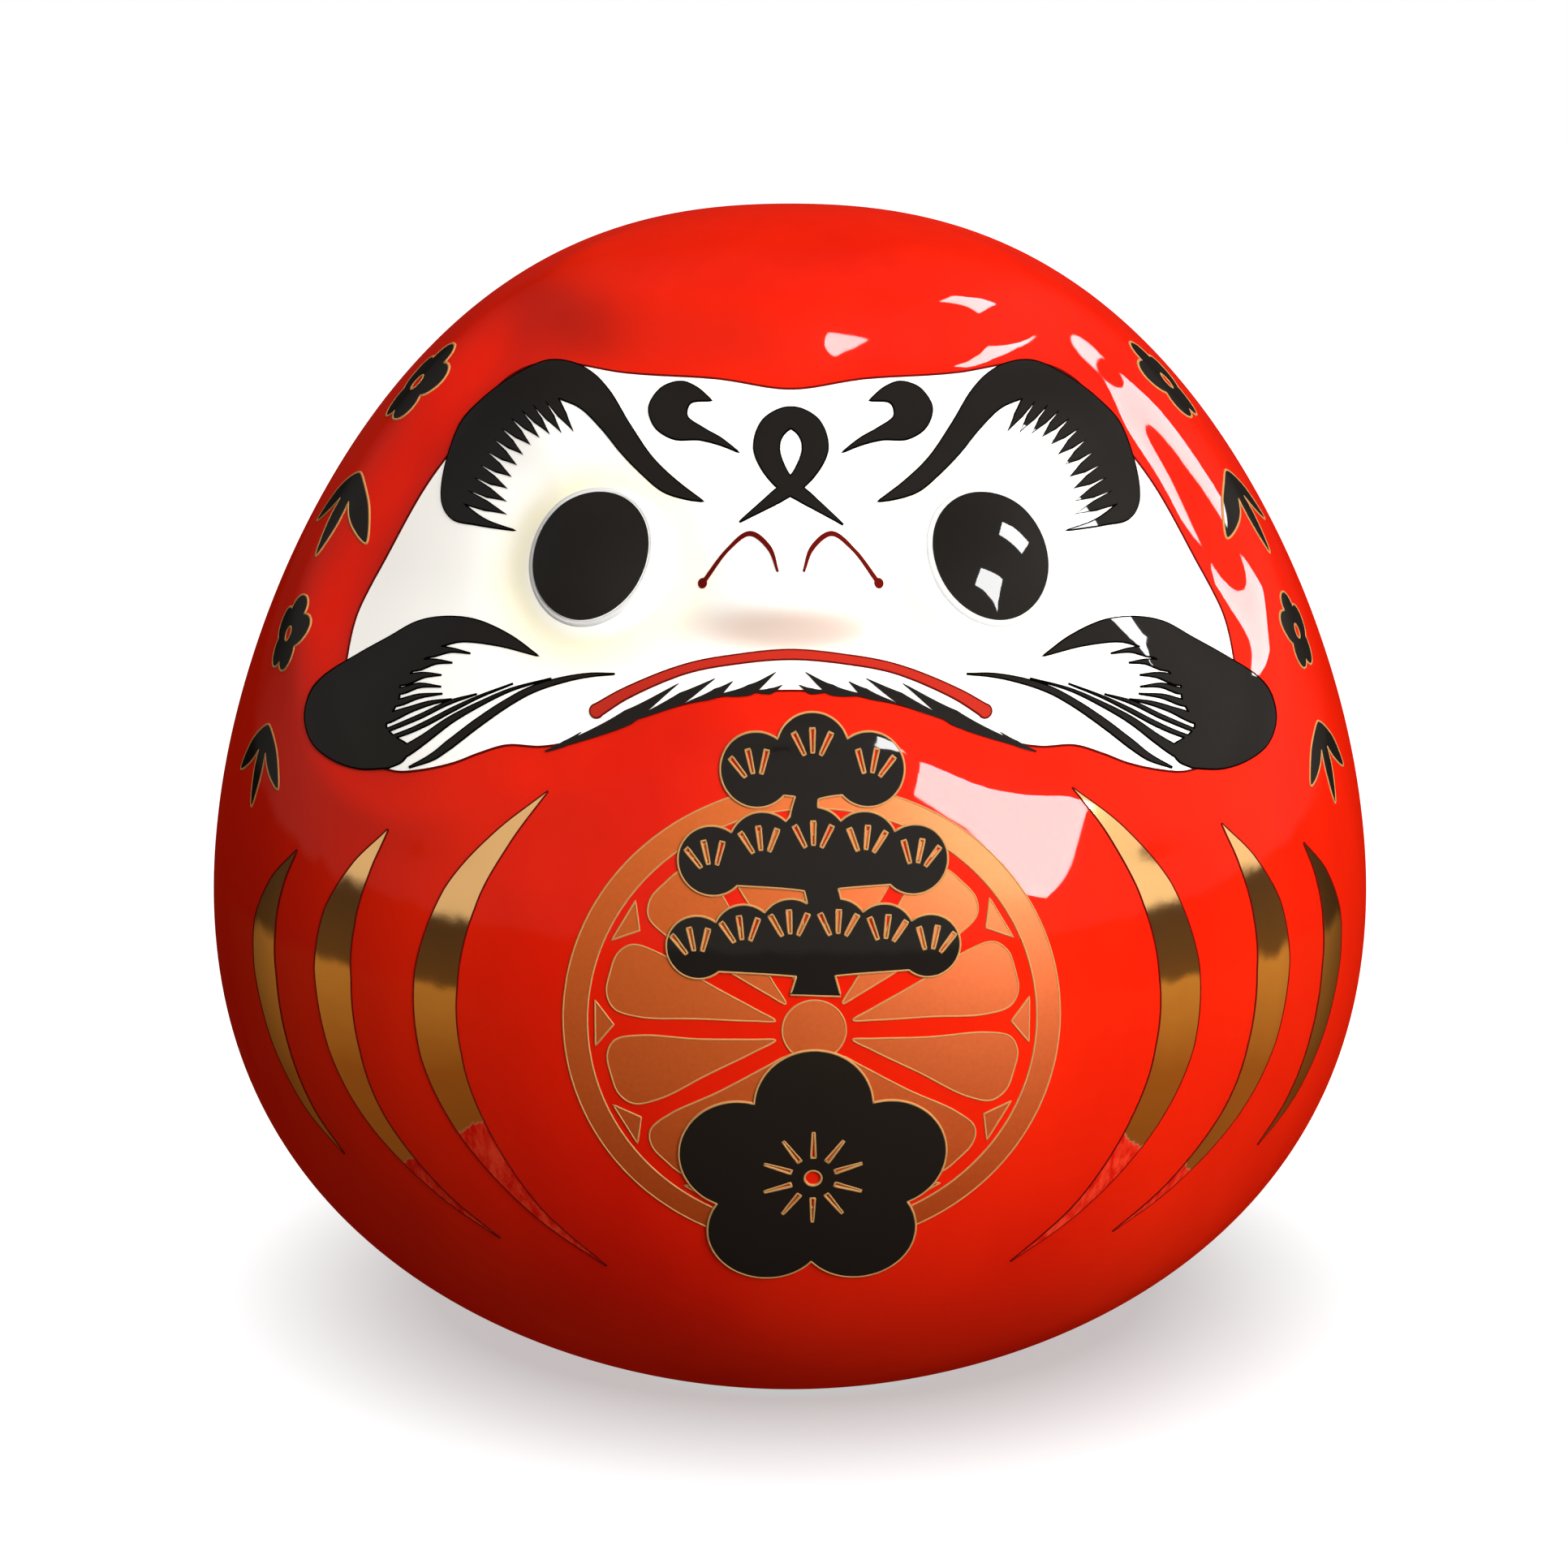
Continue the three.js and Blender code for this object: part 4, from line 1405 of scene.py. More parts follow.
@dataclass(frozen=True)
class FaceMarks:
    """The painted face: white ground, pupils, brows, nose lines, mouth, beard and whiskers."""

    lash_count: int = 11
    upper_lift: float = 0.26
    ink: Bead = Bead(INK, "black_enamel", width=0.3, rise=0.05)

    def comb(self, valleys: PointList, tips: PointList) -> Points:
        """Draws a zigzag of lashes, each side slightly bowed.

        Args:
            valleys: the roots between lashes, one more than the tips.
            tips: the lashes' ends.

        Returns:
            The open zigzag from the first valley to the last.
        """
        valleys, tips = np.asarray(valleys, float), np.asarray(tips, float)
        line = [valleys[0]]
        for i, tip in enumerate(tips):
            for start, end in ((valleys[i], tip), (tip, valleys[i + 1])):
                along = end - start
                bow = np.array([-along[1], along[0]]) * 0.02
                line.append(start + along / 2 + bow)
                line.append(end)
        return np.array(line)

    def eyebrow(self) -> Points:
        """Outlines the eyebrow at positive x, with lashes along its inner edge.

        Returns:
            The closed outline.
        """
        outer = smooth_curve([
            (13.5, 156.3), (18.1, 159.5), (22, 162.8), (25.5, 167.1), (29.3, 172.2), (32.4, 174.9),
            (35.8, 176.3), (40.6, 176.3), (46.5, 173.4), (51.7, 169.3), (55.3, 165.2),
            (57.6, 159), (57.5, 154), (55.4, 151.8), (50.5, 151.2), (43.7, 150.9),
        ])
        root_line = smooth_curve(
            [(37.3, 170.2), (44, 167.7), (48.8, 163.2), (51.9, 157.8), (53.3, 154.1)], 0.1
        )
        tip_line = smooth_curve(
            [(34.3, 165.4), (40.2, 164.1), (44, 160.7), (45.7, 157), (45.5, 153.2)], 0.1
        )
        roots = root_line[np.linspace(0, len(root_line) - 1, self.lash_count + 1).astype(int)]
        tips = tip_line[np.linspace(0, len(tip_line) - 1, self.lash_count).astype(int)]
        last_lash = smooth_curve([(43.7, 150.9), (49, 152.1), (53.3, 154.1)])
        tail = smooth_curve([
            (37.3, 170.2), (33.5, 168.9), (29.8, 166), (26.8, 163), (23.6, 160.3), (20.1, 157.8),
            (16.4, 156.7), (13.5, 156.3),
        ])
        return joined(outer, last_lash, self.comb(roots[::-1], tips[::-1]), tail)

    def whiskers(self) -> list[Points]:
        """Outlines the whisker tuft at positive x: its body, its lashes and the loose strand.

        Returns:
            The outlines, which overlap.
        """
        outer = smooth_curve([
            (39, 133), (43.6, 135.6), (48.8, 137.2), (54.6, 137.2), (59.6, 135.9), (64.4, 132.9),
            (69.1, 129.7), (73, 126.4), (75.6, 122.4), (76.2, 118), (74.7, 115), (71.6, 113.4),
            (67.3, 112.9), (61.8, 113.9),
        ])
        inner = smooth_curve([
            (61.8, 113.9), (59.4, 115.3), (58.4, 117.4), (61.4, 118.8), (62.6, 119.9), (61.4, 122.8),
            (60.8, 124.5), (60.9, 126.1), (59.2, 128.3), (57.1, 130.6), (54.4, 132.8),
        ])
        top = smooth_curve([(54.4, 132.8), (51.4, 133.8), (45.5, 133.9), (39, 133)])
        lashes = [
            ([(58.5, 131.2), (55.6, 131.9), (53, 132.4), (49.8, 132.3)], [1.7, 1.5, 0.6, 0.04]),
            ([(61, 128.9), (57.9, 129.6), (55.3, 130.4), (52.6, 130.6)], [1.7, 1.5, 0.65, 0.04]),
            ([(62.5, 126.6), (59.8, 127.2), (57, 128.2), (54.2, 128.6)], [1.6, 1.5, 0.7, 0.04]),
            ([(63.5, 124.9), (60.5, 125.4), (57.6, 126.6), (54.1, 126.9)], [1.0, 0.9, 0.6, 0.04]),
            ([(63.5, 122.9), (60.6, 123.7), (57.6, 125), (53.8, 125.9)], [1.0, 0.9, 0.55, 0.04]),
            (
                [(65, 120.2), (62.2, 121.2), (58.8, 122.9), (55.6, 124.3), (52.2, 125.3)],
                [1.5, 1.4, 0.75, 0.5, 0.04],
            ),
            (
                [(64.5, 118.2), (59.5, 120.8), (57, 122.15), (52.5, 124.8), (48.3, 126.5)],
                [0.4, 0.5, 0.55, 0.45, 0.04],
            ),
            (
                [(63, 117.7), (58.5, 119.8), (55.7, 121.4), (51.8, 123.9), (47.8, 126.2), (42.7, 128.6)],
                [0.4, 0.55, 0.6, 0.5, 0.25, 0.04],
            ),
            (
                [(62, 114.9), (58.7, 117), (56, 119), (51.9, 122.4), (47.4, 125.3), (42.9, 127.7),
                 (36.8, 129.9)],
                [1.4, 1.5, 1.2, 0.9, 0.55, 0.3, 0.04],
            ),
        ]
        strand = stroke(
            [(58.3, 114.5), (54.6, 116.5), (51.9, 118.7), (47.8, 122.3), (43.8, 125.4), (39.8, 127.9),
             (35.4, 129.7), (31.1, 130.8), (27, 131.2)],
            [0.12, 0.85, 1.15, 1.15, 1.0, 0.9, 0.75, 0.5, 0.1],
        )
        return [joined(outer, inner, top), strand, *(stroke(*lash) for lash in lashes)]

    def comma(self) -> Points:
        """Outlines the comma between brow and forehead at positive x.

        Returns:
            The closed outline.
        """
        head = smooth_curve([
            (12.7, 171.7), (15.2, 173.6), (17.8, 174.4), (21, 173.3), (22.7, 170.1), (21.6, 167.1),
            (18.6, 165.5), (14.6, 165.6), (11.2, 164.9), (8.1, 163.8),
        ])
        hollow = smooth_curve([
            (8.1, 163.8), (11, 165.9), (13.9, 167.4), (16.6, 169.2), (16.2, 171.2), (12.7, 171.7),
        ])
        return joined(head, hollow)

    def brow_loop(self) -> list[Points]:
        """Outlines the loop between the brows, one brush stroke that crosses itself below.

        Returns:
            The two halves of the stroke, which overlap.
        """
        rising = [
            (-7.8, 153.2), (-2.4, 156.8), (1.7, 160.2), (3.9, 164.6), (3.0, 167.6), (0.4, 169.2),
            (-1.6, 168.8),
        ]
        falling = [
            (8.0, 152.8), (2.5, 156.7), (-1.6, 160.0), (-3.8, 164.6), (-2.9, 167.6), (-0.3, 169.2),
            (1.7, 168.8),
        ]
        widths = [0.1, 2.0, 2.9, 4.1, 4.0, 3.3, 3.0]
        return [stroke(rising, widths), stroke(falling, widths)]

    def beard(self) -> list[Points]:
        """Outlines the strokes of the chin beard at positive x, each a root, a belly and a tip.

        Returns:
            One outline for each stroke.
        """
        strokes = [
            ((37, 119.2), (34, 120.6), (31.6, 122.4), 0.8),
            ((36, 119.6), (24.5, 124.9), (16.8, 130), 2.2),
            ((24, 124.4), (16.2, 127.9), (11.3, 130.8), 1.7),
            ((15.5, 127.2), (11, 128.7), (8.6, 130.4), 1.4),
            ((11, 128.3), (6, 129.2), (2.2, 131.8), 1.6),
            ((6, 129), (3, 129), (1.2, 129.9), 0.9),
        ]
        return [stroke([root, mid, tip], [0.2, width, 0.08]) for root, mid, tip, width in strokes]

    def mouth(self) -> list[Points]:
        """Outlines the frowning mouth line and its thicker round ends.

        Returns:
            The outlines, which overlap.
        """
        half = [(0, 134.5), (7.9, 133.8), (15.9, 132.2), (24.9, 128.4), (29.6, 125.5)]
        line = [(-x, z) for x, z in half[:0:-1]] + half
        ends = [circle(side * 29.4, 125.6, 1.02, 0.25) for side in (-1, 1)]
        return [stroke(line, [1.9, 1.6, 1.4, 1.4, 1.45, 1.4, 1.4, 1.6, 1.9]), *ends]

    def pupil(self) -> Points:
        """Outlines the pupil at positive x, an ellipse that leans outwards at its foot.

        Returns:
            The closed outline.
        """
        eye = SURFACE.relief.eye
        angle = np.linspace(0, 2 * math.pi, 120, endpoint=False)
        plain = np.stack([8.2 * np.cos(angle), 10.0 * np.sin(angle)], 1)
        return rotated(plain, 43) + (eye.x + 0.7, eye.z + 0.6)

    def marks(self) -> list[Mark]:
        """Lists the marks of the face from the ground up.

        Returns:
            The marks, ready to build.
        """
        edge = Bead(OXBLOOD, "crimson_enamel")
        red_edge = Bead(OXBLOOD, "crimson_enamel", width=0.3)
        rim = Bead(RIM_WHITE, "white_enamel", width=0.9, rise=-0.14, offset=0.5)
        bare = {"lift": self.upper_lift, "bury": 0.02}
        upper = {**bare, "bead": self.ink}
        ground = Mark(
            "enamel_face", ("face_panel",), WHITE, "white_enamel", (face_outline(),),
            spacing=1.0, bead=edge,
        )
        nostril = stroke(
            [(1.9, 145.3), (3.2, 148.9), (6.2, 151.3), (9.6, 149.2), (13.4, 144.9)],
            [0.35, 0.7, 0.75, 0.55, 0.7],
        )
        drop = circle(13.6, 144.7, 0.75, 0.2)
        return [
            ground,
            *pair("pupil", BLACK, "black_enamel", [self.pupil()], lift=0.34, bury=0.02, bead=rim),
            *pair("eyebrow", BLACK, "black_enamel", [self.eyebrow()], **upper),
            *pair("brow_comma", BLACK, "black_enamel", [self.comma()], **upper),
            *pair("whiskers", BLACK, "black_enamel", self.whiskers(), **upper),
            *pair("chin_beard", BLACK, "black_enamel", self.beard(), **bare),
            *pair("nostril_line", OXBLOOD, "crimson_enamel", [nostril, drop], **bare),
            Mark(
                "enamel_brow_loop", ("brow_loop",), BLACK, "black_enamel", tuple(self.brow_loop()),
                **upper,
            ),
            Mark(
                "enamel_mouth", ("mouth_line",), CRIMSON, "crimson_enamel", tuple(self.mouth()),
                **bare, bead=red_edge,
            ),
        ]

    def build(self) -> None:
        """Makes every mark of the face."""
        for mark in self.marks():
            mark.build()


@dataclass(frozen=True)
class BellyMarks:
    """The crest on the belly and the two black motifs over it."""

    turn: float = 2.0
    centre: float = 80
    foreshortening: float = 0.97
    ring_outer: float = 37
    ring_inner: float = 33.4
    petals: int = 12
    hub: float = 4.7

    def on_belly(self, outline: Points) -> Points:
        """Moves an outline about the crest's centre into the front chart."""
        return np.stack([outline[:, 0], self.centre + outline[:, 1] * self.foreshortening], 1)

    def petal(self) -> Points:
        """Outlines one petal that points along +x."""
        half = [(5.9, 0), (9, 0.9), (17, 2.9), (25, 5.2), (29, 5.2), (30.7, 3.2), (31, 0)]
        return smooth_curve(half + [(x, -z) for x, z in half[-2:0:-1]], 0.5, closed=True)

    def spandrel(self) -> Points:
        """Outlines the small triangle between two petal tips and the ring.

        Returns:
            The closed outline.
        """
        half_gap = 180 / self.petals
        wide = math.radians(half_gap * 0.42)
        tip, base = 29.5, 32.4
        out, up = base * math.cos(wide), base * math.sin(wide)
        corners = [(tip, 0), (out, up), (out, -up)]
        sides = [smooth_curve([corners[i], corners[(i + 1) % 3]], 0.4) for i in range(3)]
        return joined(*sides)

    def crest(self) -> list[Mark]:
        """Lists the ring and the rosette.

        Returns:
            The two marks.
        """
        line = Bead(LUSTRE_LINE, "crest_gold", width=0.28)
        ring = Mark(
            "transfer_crest_ring", ("crest_ring",), CREST, "crest_gold",
            (self.on_belly(circle(0, 0, self.ring_outer)),),
            (self.on_belly(circle(0, 0, self.ring_inner)),),
            turn=self.turn, bead=line,
        )
        shapes = [circle(0, 0, self.hub)]
        for i in range(self.petals):
            angle = (i + 0.5) * 360 / self.petals
            shapes.append(rotated(self.petal(), angle))
            shapes.append(rotated(self.spandrel(), angle + 180 / self.petals))
        rosette = Mark(
            "transfer_crest_rosette", ("crest_rosette",), CREST, "crest_gold",
            tuple(self.on_belly(shape) for shape in shapes), turn=self.turn, bead=line,
        )
        return [ring, rosette]

    def pine(self) -> tuple[list[Points], list[Points]]:
        """Outlines the cloud pine: three scalloped tiers on a bent trunk, with needle fans cut in.

        Returns:
            The outlines that are joined, and the ones that are cut out.
        """
        shapes, cuts = [], []
        tiers = ((117.2, 8.2, 5.3, 3), (104.2, 14.8, 5.0, 5), (91.6, 17.0, 4.6, 6))
        for z, reach, lobe, count in tiers:
            shapes.append(stroke([(-reach, z - 1.5), (0, z), (reach, z - 1.5)], [2.4, 7.6, 2.4]))
            for i in range(count):
                share = -1 + 2 * i / (count - 1)
                x, top = share * reach, z + 3.4 - 2.8 * share * share
                shapes.append(circle(x, top, lobe))
                for lean in (-27, 0, 27):
                    needle = stroke([(x, top - 0.4), (x, top + 3)], [0.5, 0.75], 0.3)
                    cuts.append(rotated(needle, lean - 12 * share, (x, top - 3)))
        trunk = [(0.5, 119), (-1.4, 110), (1.6, 98), (0.4, 90), (0.2, 85.3)]
        shapes.append(stroke(trunk, [2, 4.4, 5, 4.6, 7.4]))
        return shapes, cuts

    def blossom(self, x: float, z: float, reach: float, step: float = 0.45) -> list[Points]:
        """Outlines a plum blossom: five round petals and the disc that joins them.

        Args:
            x: the middle's distance across.
            z: the middle's height.
            reach: distance from the middle to the petals' tips.
            step: distance between the points of the result.

        Returns:
            The outlines, which overlap.
        """
        shapes = [circle(x, z, reach * 0.42, step)]
        for i in range(5):
            angle = math.pi / 2 + i * 2 * math.pi / 5
            out = reach * 0.57
            place = x + out * math.cos(angle), z + out * math.sin(angle)
            shapes.append(circle(*place, reach * 0.43, step))
        return shapes

    def plum(self) -> tuple[list[Points], list[Points]]:
        """Outlines the plum blossom, and cuts its heart and stamens.

        Returns:
            The outlines that are joined, and the ones that are cut out.
        """
        z, reach = 56.5, 20.5
        shapes = self.blossom(0, z, reach)
        cuts = [circle(0, z, 1.3)]
        for i in range(10):
            angle = i * 36 + 18
            ray = stroke([(3.4, 0), (7.6, 0)], [0.75, 0.35], 0.3)
            cuts.append(rotated(ray + (0, z), angle, (0, z)))
        return shapes, cuts

    def build(self) -> None:
        """Makes the crest and the motifs over it."""
        gold = Bead(LUSTRE_LINE, "gold_lustre", width=0.4)
        marks = self.crest()
        for name, (shapes, cuts) in (("pine", self.pine()), ("plum", self.plum())):
            marks.append(Mark(
                f"enamel_{name}_emblem", (f"{name}_emblem",), BLACK, "black_enamel",
                tuple(shapes), tuple(cuts), turn=self.turn, lift=0.3, bury=0.04, bead=gold,
            ))
        for mark in marks:
            mark.build()


@dataclass(frozen=True)
class RobeStripes:
    """Three gold stripes down each side of the robe."""

    turn: float = 2.0

    def lines(self) -> dict[str, tuple[list[tuple[float, float]], list[float]]]:
        """Gives each stripe's middle line and widths at positive x.

        Returns:
            The points and widths by the stripe's name.
        """
        return {
            "inner": (
                [(39, 113.5), (46, 106), (52.5, 96.5), (56.3, 84), (55.8, 72), (51.5, 61), (42, 48),
                 (31, 38.5)],
                [0.1, 2.6, 5.2, 6.7, 6.6, 5, 2, 0.1],
            ),
            "middle": (
                [(63.5, 105), (68, 98.5), (71.8, 90), (73.1, 81), (71.5, 69), (67, 59), (57, 48),
                 (47.5, 41)],
                [0.1, 2.8, 5.2, 6.2, 5.4, 3.6, 1.5, 0.1],
            ),
            "outer": (
                [(79, 98.5), (82.6, 92.5), (85, 85), (85.2, 77), (83, 66), (78.5, 56.5), (72.6, 49.7)],
                [0.1, 2.2, 3.9, 4.2, 3.2, 1.7, 0.1],
            ),
        }

    def build(self) -> None:
        """Makes the six stripes, each with a fine dark edge."""
        edge = Bead(OXBLOOD, "crimson_enamel", width=0.22, rise=0.04)
        for name, (line, widths) in self.lines().items():
            outline = stroke(line, widths)
            options = {"turn": self.turn, "bead": edge}
            for mark in pair(f"{name}_robe_stripe", LUSTRE, "gold_lustre", [outline], **options):
                mark.build()


@dataclass(frozen=True)
class SideMarks:
    """The column of small black motifs down each side of the hood and robe."""

    levels: tuple[float, ...] = (168, 148.5, 129, 109.5)
    first_turn: float = 71.5
    turn_step: float = 2.0
    middle: float = 1.0

    def bamboo(self, z: float) -> list[Points]:
        """Outlines three bamboo leaves hanging from one point.

        Args:
            z: height in the chart.

        Returns:
            The leaves' outlines.
        """
        corners = [(0, -12.5), (1.9, -6.5), (0.45, 0.5), (-0.45, 0.5), (-1.9, -6.5)]
        leaf = smooth_curve(corners, 0.3, closed=True)
        return [rotated(leaf, lean) + (0, z + 5) for lean in (-50, 0, 50)]

    def build(self) -> None:
        """Makes both columns, blossoms and bamboo by turns."""
        gold = Bead(LUSTRE_LINE, "gold_lustre", width=0.36)
        belly = BellyMarks()
        for side, sign in (("left", -1), ("right", 1)):
            for i, z in enumerate(self.levels):
                leafy = i % 2 == 1
                name = f"{side}_{'bamboo' if leafy else 'plum'}_mark_{i + 1}"
                shapes = self.bamboo(z) if leafy else belly.blossom(0, z, 6.2, 0.3)
                cuts = () if leafy else (circle(0, z, 1.1, 0.2),)
                turn = sign * (self.first_turn - self.turn_step * i) + self.middle
                Mark(
                    f"enamel_{name}", (name,), BLACK, "black_enamel", tuple(shapes), cuts,
                    turn=turn, bead=gold,
                ).build()


@dataclass(frozen=True)
class BaseFittings:
    """The vinyl stopper in the base and the foam pads under the foot."""

    segments: int = 96
    plug_radius: float = 12.7
    flange_radius: float = 16
    flange_top: float = 4.2
    flange_bottom: float = 2.2
    plug_top: float = 13
    bore_radius: float = 9.7
    pad_radius: float = 3.6
    pad_thickness: float = 0.98
    pad_ring_radius: float = 27.4

    def turned(self, name: str, profile: PointList, finish: Finish) -> bpy.types.Object:
        """Turns a profile of (radius, height) pairs, which starts and ends on the axis.

        Args:
            name: the piece's name.
            profile: the (radius, height) pairs.
            finish: its finish.

        Returns:
            The turned object.
        """
        angle = np.linspace(0, 2 * math.pi, self.segments, endpoint=False)
        rows = [
            np.stack([r * np.cos(angle), r * np.sin(angle), np.full_like(angle, z)], 1)
            for r, z in profile[1:-1]
        ]
        ends = np.array([[0, 0, profile[0][1]], [0, 0, profile[-1][1]]], float)
        points = np.vstack(rows + [ends])
        first, last = len(points) - 2, len(points) - 1
        faces = ring_faces(len(rows), self.segments)
        high = (len(rows) - 1) * self.segments
        for i in range(self.segments):
            j = (i + 1) % self.segments
            faces += [(first, j, i), (last, high + i, high + j)]
        return mesh_object(name, points, faces, [finish])

    def stopper(self) -> None:
        """Makes the stopper: a rimmed flange with a finger dish and a ribbed hollow plug."""
        low, top, rim = self.flange_bottom, self.flange_top, self.flange_radius
        plug, bore, dish = self.plug_radius, self.bore_radius, self.flange_bottom + 1.2
        profile = [
            (0, dish), (bore - 2, dish), (bore - 0.3, dish - 0.1), (bore + 0.7, low + 0.15),
            (bore + 1.1, low), (rim - 0.7, low), (rim - 0.2, low + 0.2), (rim, low + 0.7),
            (rim, top - 0.3), (rim - 0.3, top), (plug + 0.2, top), (plug - 0.15, top + 0.2),
        ]
        for z in np.arange(top + 1.2, self.plug_top - 2.4, 1.8):
            profile += [(plug - 0.15, z), (plug, z + 0.35), (plug, z + 0.65), (plug - 0.15, z + 1)]
        profile += [
            (plug - 0.2, self.plug_top - 2), (plug - 1.2, self.plug_top - 0.15),
            (plug - 1.5, self.plug_top), (bore + 0.3, self.plug_top), (bore, self.plug_top - 0.3),
            (bore, top + 2.6), (bore - 0.6, top + 2), (0, top + 2),
        ]
        made = self.turned("vinyl_stopper", profile, VINYL)
        fit(made, Body.STOPPER, "stopper_vinyl", "base_stopper")

    def pads(self) -> None:
        """Makes the four foam pads with softly pressed edges."""
        r, t = self.pad_radius, self.pad_thickness
        profile = [
            (0, 0), (r - 0.35, 0), (r - 0.1, 0.08), (r, 0.25), (r - 0.05, t - 0.2), (r - 0.2, t),
            (0, t),
        ]
        for i in range(4):
            angle = math.pi / 4 + i * math.pi / 2
            pad = self.turned(f"foam_pad_{i + 1}", profile, FOAM)
            shift = Vector((math.cos(angle), math.sin(angle), 0)) * self.pad_ring_radius * MM
            for corner in pad.data.vertices:
                corner.co += shift
            fit(pad, Body.DOLL, "pad_foam", f"foot_pad_{i + 1}")

    def build(self) -> None:
        """Makes the stopper and the pads."""
        self.stopper()
        self.pads()


# ------------------------------------------------------------------ stage


class LightRole(Enum):
    """Whether a softbox lights the doll or is only seen mirrored in its gloss."""

    LIGHTS = "lights"
    MIRRORS = "mirrors"


@dataclass(frozen=True)
class Softbox:
    """A softbox: where it hangs round the doll, its size in metres and how bright its face is."""

    name: str
    role: LightRole
    azimuth: float
    elevation: float
    size: tuple[float, float]
    radiance: float
    roll: float = 0.0
    distance: float = 1.0


@dataclass(frozen=True)
class Studio:
    """Camera, floor, sky and soft lights."""

    elevation: float = 12.0
    distance: float = 0.62
    aim_height: float = 0.0975
    aim_side: float = -0.001
    lens: float = 83.3
    floor_radius: float = 6.0
    fill: float = 0.2
    # the floor's glow: dimmed near the doll as a painted shadow, full far from it
    painted_shadow_glow: float = 0.5
    far_glow: float = 1.1
    painted_shadow_shift: float = 0.03
    painted_shadow_inner: float = 0.066
    painted_shadow_outer: float = 0.118
    floor_colour: tuple[float, float, float, float] = (0.36, 0.4, 0.4, 1)
    softboxes: tuple[Softbox, ...] = (
        Softbox("key", LightRole.LIGHTS, 37, 24, (0.5, 0.5), 11.5),
        Softbox("overhead", LightRole.LIGHTS, 4, 66, (0.9, 0.9), 1.75, distance=1.2),
        Softbox("rear fill", LightRole.LIGHTS, 186, 26, (0.6, 0.6), 3.2),
        Softbox("window", LightRole.MIRRORS, 38, 17, (0.46, 0.25), 100, roll=-32),
        Softbox("side window", LightRole.MIRRORS, 89, 41, (0.21, 0.44), 90, roll=12),
    )

    def camera(self) -> None:
        """Sets the camera in front of the face, a little above it."""
        data = bpy.data.cameras.new("studio camera")
        data.lens = self.lens
        data.sensor_width = 36
        data.clip_start = 0.05
        tilt = math.radians(self.elevation)
        eye = bpy.data.objects.new("studio camera", data)
        eye.location = (
            self.aim_side,
            -self.distance * math.cos(tilt),
            self.aim_height + self.distance * math.sin(tilt),
        )
        eye.rotation_euler = (math.pi / 2 - tilt, 0, 0)
        bpy.context.scene.collection.objects.link(eye)
        bpy.context.scene.camera = eye

    def floor(self) -> None:
        """Lays the pale floor, which takes the doll's shadow but casts no colour back on it.

        Its glow is dimmer round the doll, a painted shadow that deepens the real one. Its underside
        is clear, so that the base and its stopper can be looked at from below.
        """
        angle = np.linspace(0, 2 * math.pi, 96, endpoint=False)
        mesh = bpy.data.meshes.new("studio_floor")
        rim = [(self.floor_radius * math.cos(a), self.floor_radius * math.sin(a), 0) for a in angle]
        mesh.from_pydata(rim, [], [tuple(range(96))])
        material = bpy.data.materials.new("pale studio floor")
        material.use_nodes = True
        tree = material.node_tree
        shader = tree.nodes["Principled BSDF"]
        set_sockets(shader, {
            "Base Color": self.floor_colour, "Roughness": 1.0, "Specular IOR Level": 0.0,
            "Emission Color": (1, 1, 1, 1),
        })
        place = add_node(tree, "TexCoord").outputs["Object"]
        # painted shadow: the floor's glow is dimmer within a ring round a point just behind the doll
        away = add_node(
            tree, "VectorMath", {"operation": "DISTANCE", 1: (0, self.painted_shadow_shift, 0)}, {0: place}
        )
        painted_glow = add_node(
            tree, "MapRange",
            {
                "From Min": self.painted_shadow_inner, "From Max": self.painted_shadow_outer,
                "To Min": self.painted_shadow_glow, "To Max": self.far_glow,
            },
            {"Value": away.outputs["Value"]},
        )
        tree.links.new(painted_glow.outputs["Result"], shader.inputs["Emission Strength"])
        side = add_node(tree, "NewGeometry").outputs["Backfacing"]
        clear = add_node(tree, "BsdfTransparent").outputs["BSDF"]
        solid = shader.outputs["BSDF"]
        one_way = add_node(tree, "MixShader", links={0: side, 1: solid, 2: clear})
        output = tree.nodes["Material Output"]
        tree.links.new(one_way.outputs["Shader"], output.inputs["Surface"])
        mesh.materials.append(material)
        floor = bpy.data.objects.new("studio_floor", mesh)
        bpy.context.scene.collection.objects.link(floor)
        floor.visible_glossy = False
        floor.visible_diffuse = False
        floor.visible_shadow = False

    def sky(self) -> None:
        """Wraps the doll in what its gloss mirrors, and in an even fill for everything else."""
        world = bpy.data.worlds.new("studio sky")
        world.use_nodes = True
        bpy.context.scene.world = world
        tree = world.node_tree
        tree.nodes.clear()
        path = add_node(tree, "LightPath").outputs
        fill = add_node(tree, "Background", {"Color": (1, 0.97, 0.94, 1), "Strength": self.fill})
        mirrored_room = add_node(tree, "Background", links={"Color": self.room(tree)})
        white = add_node(tree, "Background", {"Color": (1, 1, 1, 1)})
        lit = add_node(
            tree, "MixShader",
            links={0: path["Is Glossy Ray"], 1: fill.outputs[0], 2: mirrored_room.outputs[0]},
        )
        both = add_node(
            tree, "MixShader", links={0: path["Is Camera Ray"], 1: lit.outputs[0], 2: white.outputs[0]}
        )
        add_node(tree, "OutputWorld", links={"Surface": both.outputs[0]})

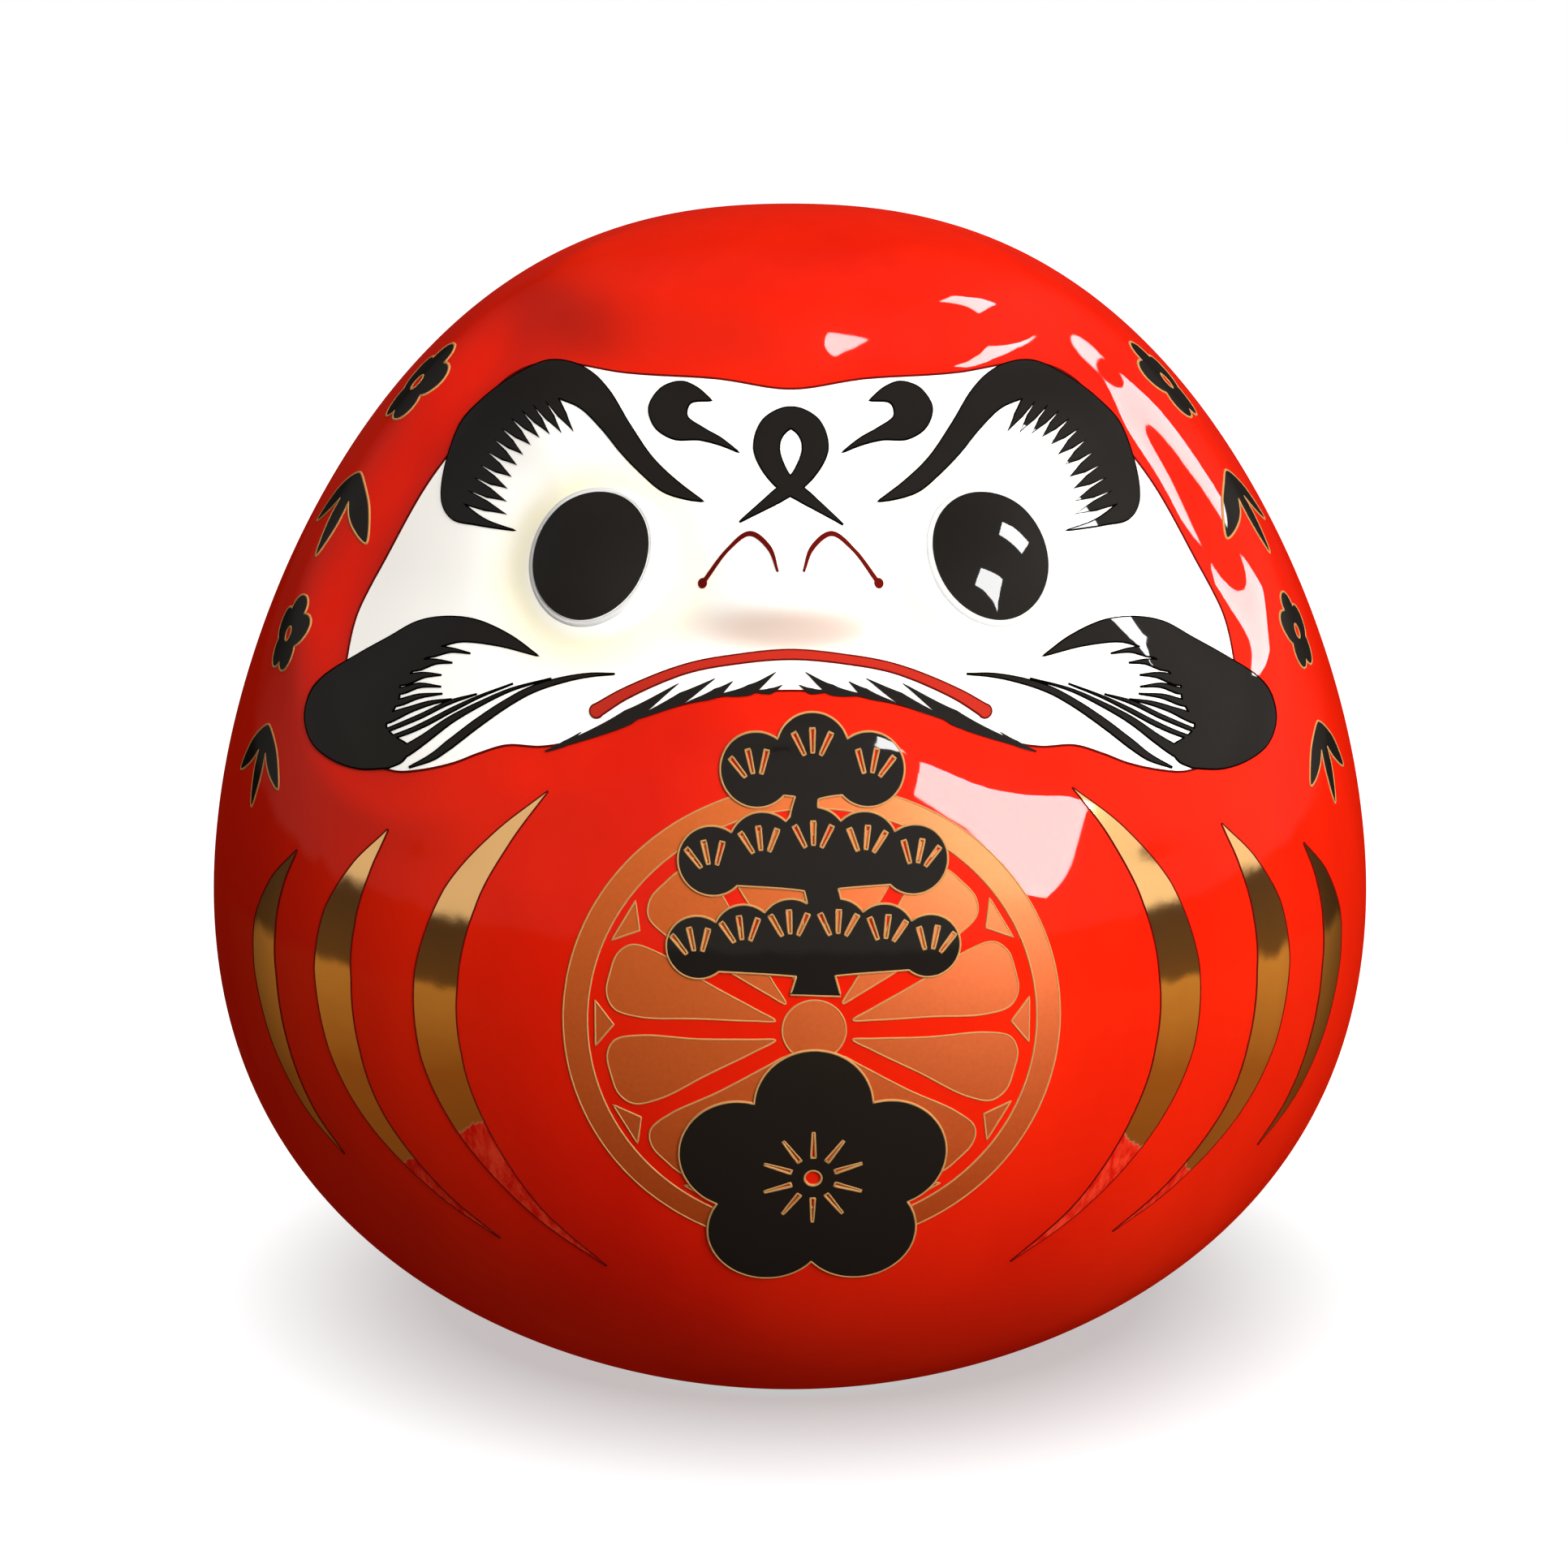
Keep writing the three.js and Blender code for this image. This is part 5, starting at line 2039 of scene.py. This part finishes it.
    def room(self, tree: bpy.types.NodeTree) -> bpy.types.NodeSocket:
        """Colours the mirrored room: white side walls, a dark dado, brown boards, a dark back.

        Args:
            tree: the world's node tree.

        Returns:
            The socket that gives the room's colour.
        """
        place = add_node(tree, "TexCoord").outputs["Generated"]
        parts = add_node(tree, "SeparateXYZ", links={"Vector": place}).outputs
        clutter = add_node(tree, "TexNoise", {"Scale": 9.0, "Detail": 3.0}, {"Vector": place})
        uneven = add_node(
            tree, "Math", {"operation": "MULTIPLY_ADD", 1: 0.05},
            {0: clutter.outputs["Fac"], 2: parts["Z"]},
        )
        share = add_node(
            tree, "MapRange", {"From Min": -0.975, "From Max": 1.025}, {"Value": uneven.outputs[0]}
        )
        ramp = add_node(tree, "ValToRGB", links={"Fac": share.outputs["Result"]})
        stops = [
            (0.0, (0.1, 0.05, 0.02)), (0.28, (0.28, 0.12, 0.025)), (0.392, (0.5, 0.29, 0.08)),
            (0.4, (0.13, 0.08, 0.035)), (0.478, (0.08, 0.055, 0.035)), (0.486, (0.9, 0.85, 0.74)),
            (0.6, (1.0, 0.94, 0.86)), (0.75, (0.75, 0.74, 0.73)), (1.0, (0.35, 0.35, 0.35)),
        ]
        elements = ramp.color_ramp.elements
        elements[0].position, elements[0].color = stops[0][0], (*stops[0][1], 1)
        elements[1].position, elements[1].color = stops[-1][0], (*stops[-1][1], 1)
        for position, colour in stops[1:-1]:
            elements.new(position).color = (*colour, 1)
        behind = add_node(
            tree, "MapRange", {"From Min": 0.8, "From Max": 0.3, "To Min": 0.06}, {"Value": parts["Y"]}
        )
        aside = add_node(
            tree, "MapRange", {"From Min": -0.7, "From Max": 0.7, "To Min": 0.9, "To Max": 1.35},
            {"Value": parts["X"]},
        )
        both = add_node(
            tree, "Math", {"operation": "MULTIPLY"},
            {0: behind.outputs["Result"], 1: aside.outputs["Result"]},
        )
        dimmed = add_node(
            tree, "VectorMath", {"operation": "SCALE"},
            {0: ramp.outputs["Color"], "Scale": both.outputs[0]},
        )
        return dimmed.outputs["Vector"]

    def softbox(self, box: Softbox) -> None:
        """Hangs a softbox that faces the doll.

        Args:
            box: the softbox.
        """
        data = bpy.data.lights.new(box.name, "AREA")
        data.shape = "RECTANGLE"
        data.size, data.size_y = box.size
        data.energy = box.radiance * math.pi * box.size[0] * box.size[1]
        hung = bpy.data.objects.new(box.name, data)
        a, e = math.radians(box.azimuth), math.radians(box.elevation)
        out = Vector((math.sin(a) * math.cos(e), -math.cos(a) * math.cos(e), math.sin(e)))
        hung.location = Vector((0, 0, self.aim_height)) + out * box.distance
        hung.rotation_euler = out.to_track_quat("Z", "Y").to_euler()
        hung.rotation_euler.rotate_axis("Z", math.radians(box.roll))
        hung.visible_camera = False
        hung.visible_diffuse = box.role is LightRole.LIGHTS
        hung.visible_glossy = box.role is LightRole.MIRRORS
        bpy.context.scene.collection.objects.link(hung)

    def spare_floor(self) -> None:
        """Flags the side lights off the floor, so that only the overhead panel casts a shadow."""
        group = bpy.data.collections.new("side lights leave out")
        group.objects.link(bpy.data.objects["studio_floor"])
        group.collection_objects[0].light_linking.link_state = "EXCLUDE"
        for name in ("key", "rear fill"):
            bpy.data.objects[name].light_linking.receiver_collection = group

    def build(self) -> None:
        """Sets up the whole studio."""
        self.camera()
        self.floor()
        self.sky()
        for box in self.softboxes:
            self.softbox(box)
        self.spare_floor()


def main() -> None:
    """Builds the studio and the doll, sub-assembly by sub-assembly."""
    logging.basicConfig(level=logging.INFO, format="%(name)s %(message)s")
    bpy.context.scene.view_settings.view_transform = "Standard"
    Studio().build()
    for part in (Shell(), FaceMarks(), BellyMarks(), RobeStripes(), SideMarks(), BaseFittings()):
        LOG.info("building %s", type(part).__name__)
        part.build()


if __name__ == "__main__":
    main()
